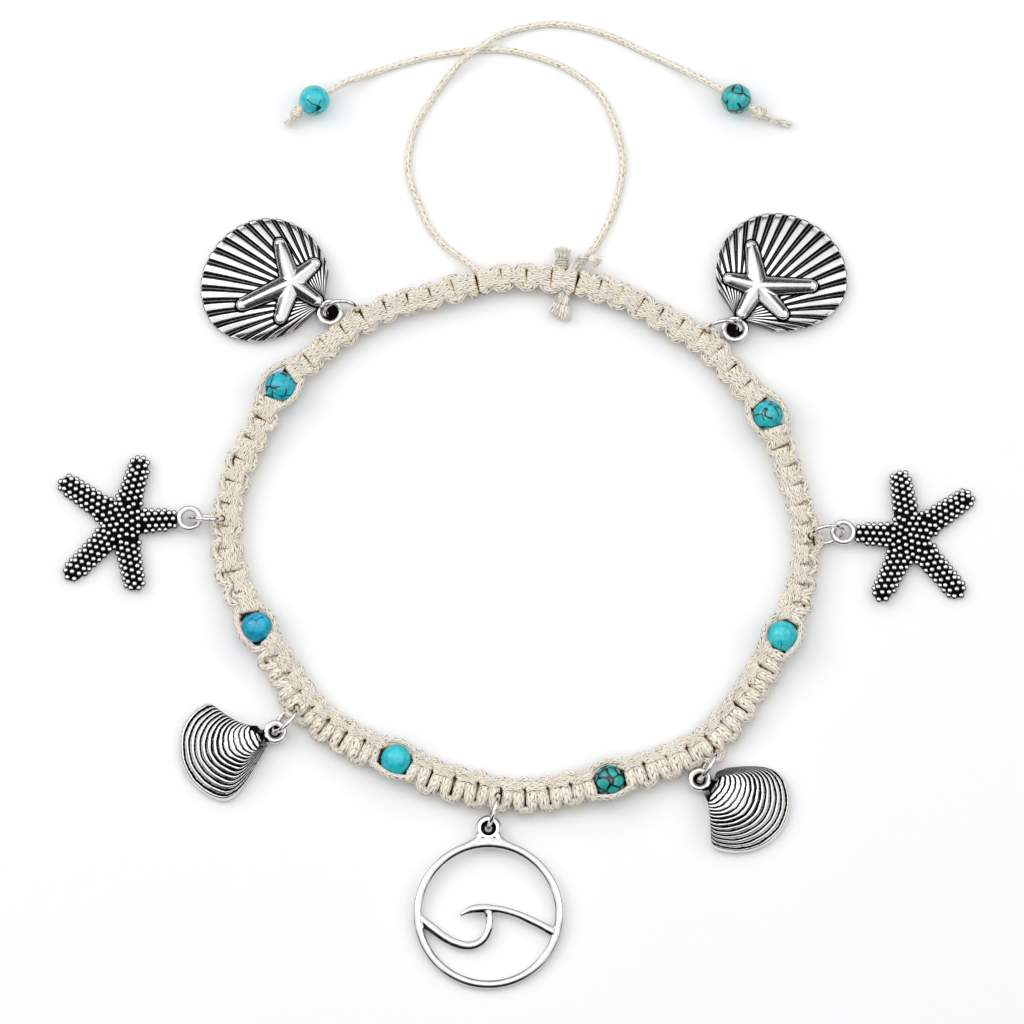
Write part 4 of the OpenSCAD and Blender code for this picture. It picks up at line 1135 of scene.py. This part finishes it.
# The clams: growth ridges in steps from the hinge, black between them; the two differ in outline
CLAM_L_EDGE = [
    [1.5, 0.9], [3.1, 1.75], [4.75, 3.3], [6.0, 5.45], [6.95, 6.75], [8.4, 6.75], [10.3, 5.95],
    [11.9, 4.3], [12.85, 2.25], [13.25, 0.0], [12.85, -2.3], [11.8, -4.3], [10.3, -5.9],
    [9.0, -6.4], [7.2, -5.9], [5.1, -4.4], [3.3, -2.9], [1.6, -1.5],
]
CLAM_R_EDGE = [
    [1.4, 2.1], [2.3, 3.2], [3.4, 4.1], [5.3, 5.35], [7.0, 6.15], [8.4, 6.35], [10.0, 5.8],
    [11.6, 4.2], [12.6, 2.2], [12.95, 0.0], [12.45, -2.2], [11.3, -4.1], [9.65, -5.6],
    [7.8, -6.55], [6.4, -6.85], [5.6, -6.3], [4.3, -4.2], [2.9, -2.3], [1.5, -1.5],
]
CLAM_HINGE_X, CLAM_HINGE_SHARE, CLAM_T, CLAM_BACK, CLAM_RIM_T = 1.7, 0.22, 2.6, 0.5, 0.6
CLAM_RIDGES, RIDGE_STEPS, CLAM_COLUMNS = 15, 14, 190
RIDGE_H, TOOTH = 0.24, 0.13
RIDGE_PROFILE = [0, 0.12, 0.3, 0.46, 0.62, 0.9, 1.0], [-0.5, -0.5, 0.35, 0.5, 0.45, -0.1, -0.5]


def clam_shape(edge, gather):
    """The clam's face; gather above 1 draws the ridges in towards the hinge."""
    fine = smooth_line([[x, y, 0] for x, y in edge], 0.2)
    at = np.linspace(0, 1, len(fine))

    def shape(across, t):
        t = 0.04 + 0.96 * t
        x, y = np.interp(across, at, fine[:, 0]), np.interp(across, at, fine[:, 1])
        wobble = 0.004 * np.sin(across * 23 + t * 9) + 0.002 * np.sin(across * 61 + t * 40)
        count = (t + wobble) * CLAM_RIDGES
        phase, ridge = count % 1, np.floor(count)
        step = np.interp(phase, *RIDGE_PROFILE)
        dome = np.sin(np.pi * t ** 0.75) ** 0.7 * (0.35 + 0.65 * np.sin(np.pi * (across * 0.9 + 0.05)))
        z = CLAM_RIM_T + (CLAM_T - CLAM_RIM_T) * dome + step * RIDGE_H * np.minimum(1, t * 1.6) - CLAM_BACK
        # The ridges end as small teeth on the long side
        teeth = TOOTH * step * fade(across, 0.78, 0.94) * fade(t, 0.97, 0.95)
        # The black lines are broad and ragged near both sides and thin out over the crown
        ragged = 0.07 * np.sin(across * 90 + ridge * 2.1) * np.sin(across * 217 + ridge * 5.3)
        broad = 0.155 + 0.19 * np.abs(across * 2 - 1) ** 0.9 + ragged + 0.035 * np.sin(ridge * 7.3)
        black = fade(broad - np.abs((phase + 0.45) % 1 - 0.5), 0, 0.06) * fade(t, 0.965, 0.95)
        return (CLAM_HINGE_X + (x - CLAM_HINGE_X) * t,
                y * (CLAM_HINGE_SHARE + (1 - CLAM_HINGE_SHARE) * t ** gather) * (1 + teeth), z, black)
    return shape


def clam(edge, gather):
    shell = fan_grid(CLAM_COLUMNS, CLAM_RIDGES * RIDGE_STEPS, clam_shape(edge, gather), CLAM_BACK)
    stem = rod([[1.15, 0, -0.15, 0.7], [1.6, 0, -0.1, 0.95], [2.1, 0, -0.05, 1.1], [2.9, 0, 0, 1.0]],
               flat=0.35)
    eye = melted([ring(1.2), stem], EYE_VOXEL)
    keep(eye.data, "black", np.minimum(0.8, fade(kept(eye.data.vertices, "co", 3)[:, 0], 1.35, 1.6)))
    return join([patina(join([shell, eye], "clam"), 0.55), eye_step(1.18, 0.45, 0.08)], "clam")


# The open disc: a flat rim with chamfered edges that flares into its eye, and the wave line.
# The line's rows: x, y, width as a share of WAVE_LINE_W.
DISC_MIDDLE, DISC_D, DISC_RIM_W, DISC_RIM_T, WAVE_LINE_W = 11.5, 20, 1.15, 1.1, 1.1
DISC_EYE_R, DISC_TAB_R = 1.02, 1.8
WAVE_FACE = [
    [11.85, -9.25, 1.0], [12.57, -8.47, 1.12], [13.38, -7.47, 1.2], [14.6, -5.87, 1.1], [15.41, -4.27, 1.1],
    [15.74, -2.67, 1.05], [15.41, -1.39, 1.0], [14.6, -0.47, 0.95], [13.38, 0.05, 0.9], [12.16, 0.13, 0.9],
    [11.2, -0.05, 0.95],
]
WAVE_BACK = [
    [11.65, -3.75, 0.3], [11.25, -3.1, 0.6], [10.9, -2.3, 0.95], [10.75, -1.3, 1.1], [10.72, -0.3, 1.1],
    [10.78, 0.6, 0.95], [10.95, 1.9, 0.9], [11.5, 3.8, 0.9], [12.3, 5.6, 1.0], [13.15, 7.3, 1.0],
    [13.7, 8.25, 1.12], [14.05, 8.95, 1.0],
]
# A bar's section: flat top, sloping shoulders, upright sides
CHAMFERED = [[1, 0.45], [0.85, 0.65], [0.2, 1], [-0.2, 1], [-0.85, 0.65], [-1, 0.45]]
CHAMFERED += [[-x, -y] for x, y in CHAMFERED]


def wave_disc():
    rim_r = (DISC_D - DISC_RIM_W) / 2
    half_t = DISC_RIM_T / 2
    turn = np.linspace(0, 2 * math.pi, 121)
    rim = Cords()
    rim.lay(np.stack([DISC_MIDDLE + rim_r * np.cos(turn), rim_r * np.sin(turn), 0 * turn], 1),
            UP, DISC_RIM_W / 2, half_t, CHAMFERED)
    parts = [rim.mesh("rim", 1.0)]
    for line in (WAVE_FACE, WAVE_BACK):
        rows = [[x, y, 0, w * WAVE_LINE_W / 2] for x, y, w in line]
        parts.append(rod(rows, CHAMFERED, DISC_RIM_T / WAVE_LINE_W))
    # The eye's tab and the rim's shoulders that flare into it
    parts.append(taper((0, 0, half_t * 0.1), (0, 0, half_t), DISC_TAB_R, 1.45, 40))
    parts.append(taper((0, 0, -half_t * 0.8), (0, 0, half_t * 0.1), 1.45, DISC_TAB_R, 40))
    for way in (-1, 1):
        parts.append(rod([[0.4, way * 1.1, 0, 0.5], [1.3, way * 1.2, 0, 0.55], [1.95, way * 1.8, 0, 0.6],
                          [2.45, way * 2.9, 0, 0.55]], CHAMFERED))
    parts.append(rod([[0.8, 0, 0, 1.0], [2.0, 0, 0, 1.3]], CHAMFERED, half_t / 1.2))
    whole = melted(parts, DISC_VOXEL)
    pick()
    bpy.ops.mesh.primitive_cylinder_add(vertices=40, radius=DISC_EYE_R, depth=4)
    drill = bpy.context.object
    modified(whole, "BOOLEAN", operation="DIFFERENCE", object=drill)
    bpy.data.objects.remove(drill)
    # Painted dark reflection in lines along the rim's two bevels, darkest where a bevel faces
    # the front: inside the arc by the eye and outside the far one; and along the far side of the wave
    place, normal = kept(whole.data.vertices, "co", 3), kept(whole.data.vertices, "normal", 3)
    turned = np.arctan2(place[:, 1], place[:, 0] - DISC_MIDDLE)
    off = (np.hypot(place[:, 0] - DISC_MIDDLE, place[:, 1]) - rim_r) / (DISC_RIM_W / 2)
    reflection_streak = 0.62 + 0.16 * np.cos(2 * turned) + 0.1 * np.sin(5 * turned + 1) + 0.08 * np.sin(19 * turned)
    reflection_streak = reflection_streak * np.where(off > 0, 0.6 + 0.4 * np.cos(turned), 0.8 - 0.25 * np.cos(turned))
    black = np.clip(reflection_streak, 0, 0.75) * fade(np.abs(np.abs(off) - 0.64), 0.21, 0.07)
    slope = np.abs(normal[:, 2])
    wave_reflection = 0.55 * fade(slope, 0.95, 0.89) * fade(slope, 0.4, 0.5) * (normal[:, 0] > 0.1)
    keep(whole.data, "black", np.where(off < -1.05, wave_reflection, black) * (normal[:, 2] > -0.2))
    return join([patina(whole, 0.8), eye_step(1.1, 0.5)], "wave_disc")


fan = scallop()
placed(twin(fan), "scallop_left", BEAK_X + SCALLOP_D, SCALLOP_BACK, True)
placed(fan, "scallop_right", BEAK_X + SCALLOP_D, SCALLOP_BACK)
placed(starfish(STAR_L_ARMS), "starfish_left", STAR_MIDDLE + STAR_REACH, STAR_BACK)
placed(starfish(STAR_R_ARMS), "starfish_right", STAR_MIDDLE + STAR_REACH, STAR_BACK)
placed(clam(CLAM_L_EDGE, 1.8), "clam_left", max(x for x, y in CLAM_L_EDGE), CLAM_BACK, True)
placed(clam(CLAM_R_EDGE, 1.1), "clam_right", max(x for x, y in CLAM_R_EDGE), CLAM_BACK)
placed(wave_disc(), "wave_disc", DISC_MIDDLE + DISC_D / 2, DISC_RIM_T / 2)


# ---- Floor and light ----
def staged(name, material, colour, roughness):
    """Names the newest object, gives it a plain finish and leaves it off the part."""
    made, _, shader = blank(material)
    feed(shader, {"Base Color": linear(colour), "Roughness": roughness})
    bpy.context.object.name = name
    coat(bpy.context.object, made)
    return bpy.context.object


pick()
bpy.ops.mesh.primitive_plane_add(size=3.0, location=(0, 0, 0))
staged("floor", "white_paper", "#F7F7F6", 0.9)
# Black cards round the table, out of sight, that draw dark lines in the metal
bpy.ops.mesh.primitive_cylinder_add(vertices=48, radius=0.8, depth=0.32, end_fill_type="NOTHING",
                                    location=(0, 0, 0.17))
staged("black_curtain", "black_curtain", "#101010", 1.0).visible_camera = False
bpy.ops.mesh.primitive_plane_add(size=1.0, location=(0, -0.78, 0.5), rotation=(math.pi / 2, 0, 0))
bpy.ops.transform.resize(value=(1.3, 1, 1.0), center_override=(0, -0.78, 0.5))
staged("black_flag", "black_flag", "#101010", 1.0).visible_camera = False

# Softboxes: x, y, z in mm, size in mm, strength in watts
LIGHTS = {
    "top_softbox": ((-60, 180, 900), 520, 0.9),
    "left_softbox": ((-520, 260, 480), 380, 1.0),
    "right_softbox": ((560, 160, 520), 320, 0.35),
}
for name, (place, size, watts) in LIGHTS.items():
    lamp = bpy.data.lights.new(name, "AREA")
    lamp.size, lamp.energy = size * MM, watts
    box = in_scene(name, lamp)
    box.location = Vector(place) * MM
    box.rotation_euler = (Vector((0, 10, 0)) - Vector(place)).to_track_quat("-Z", "Y").to_euler()
world = bpy.data.worlds.new("studio")
bpy.context.scene.world = world
world.use_nodes = True
feed(world.node_tree.nodes["Background"], {"Color": linear("#F4F6F8"), "Strength": 1.2})
bpy.context.scene.view_settings.view_transform = "Standard"
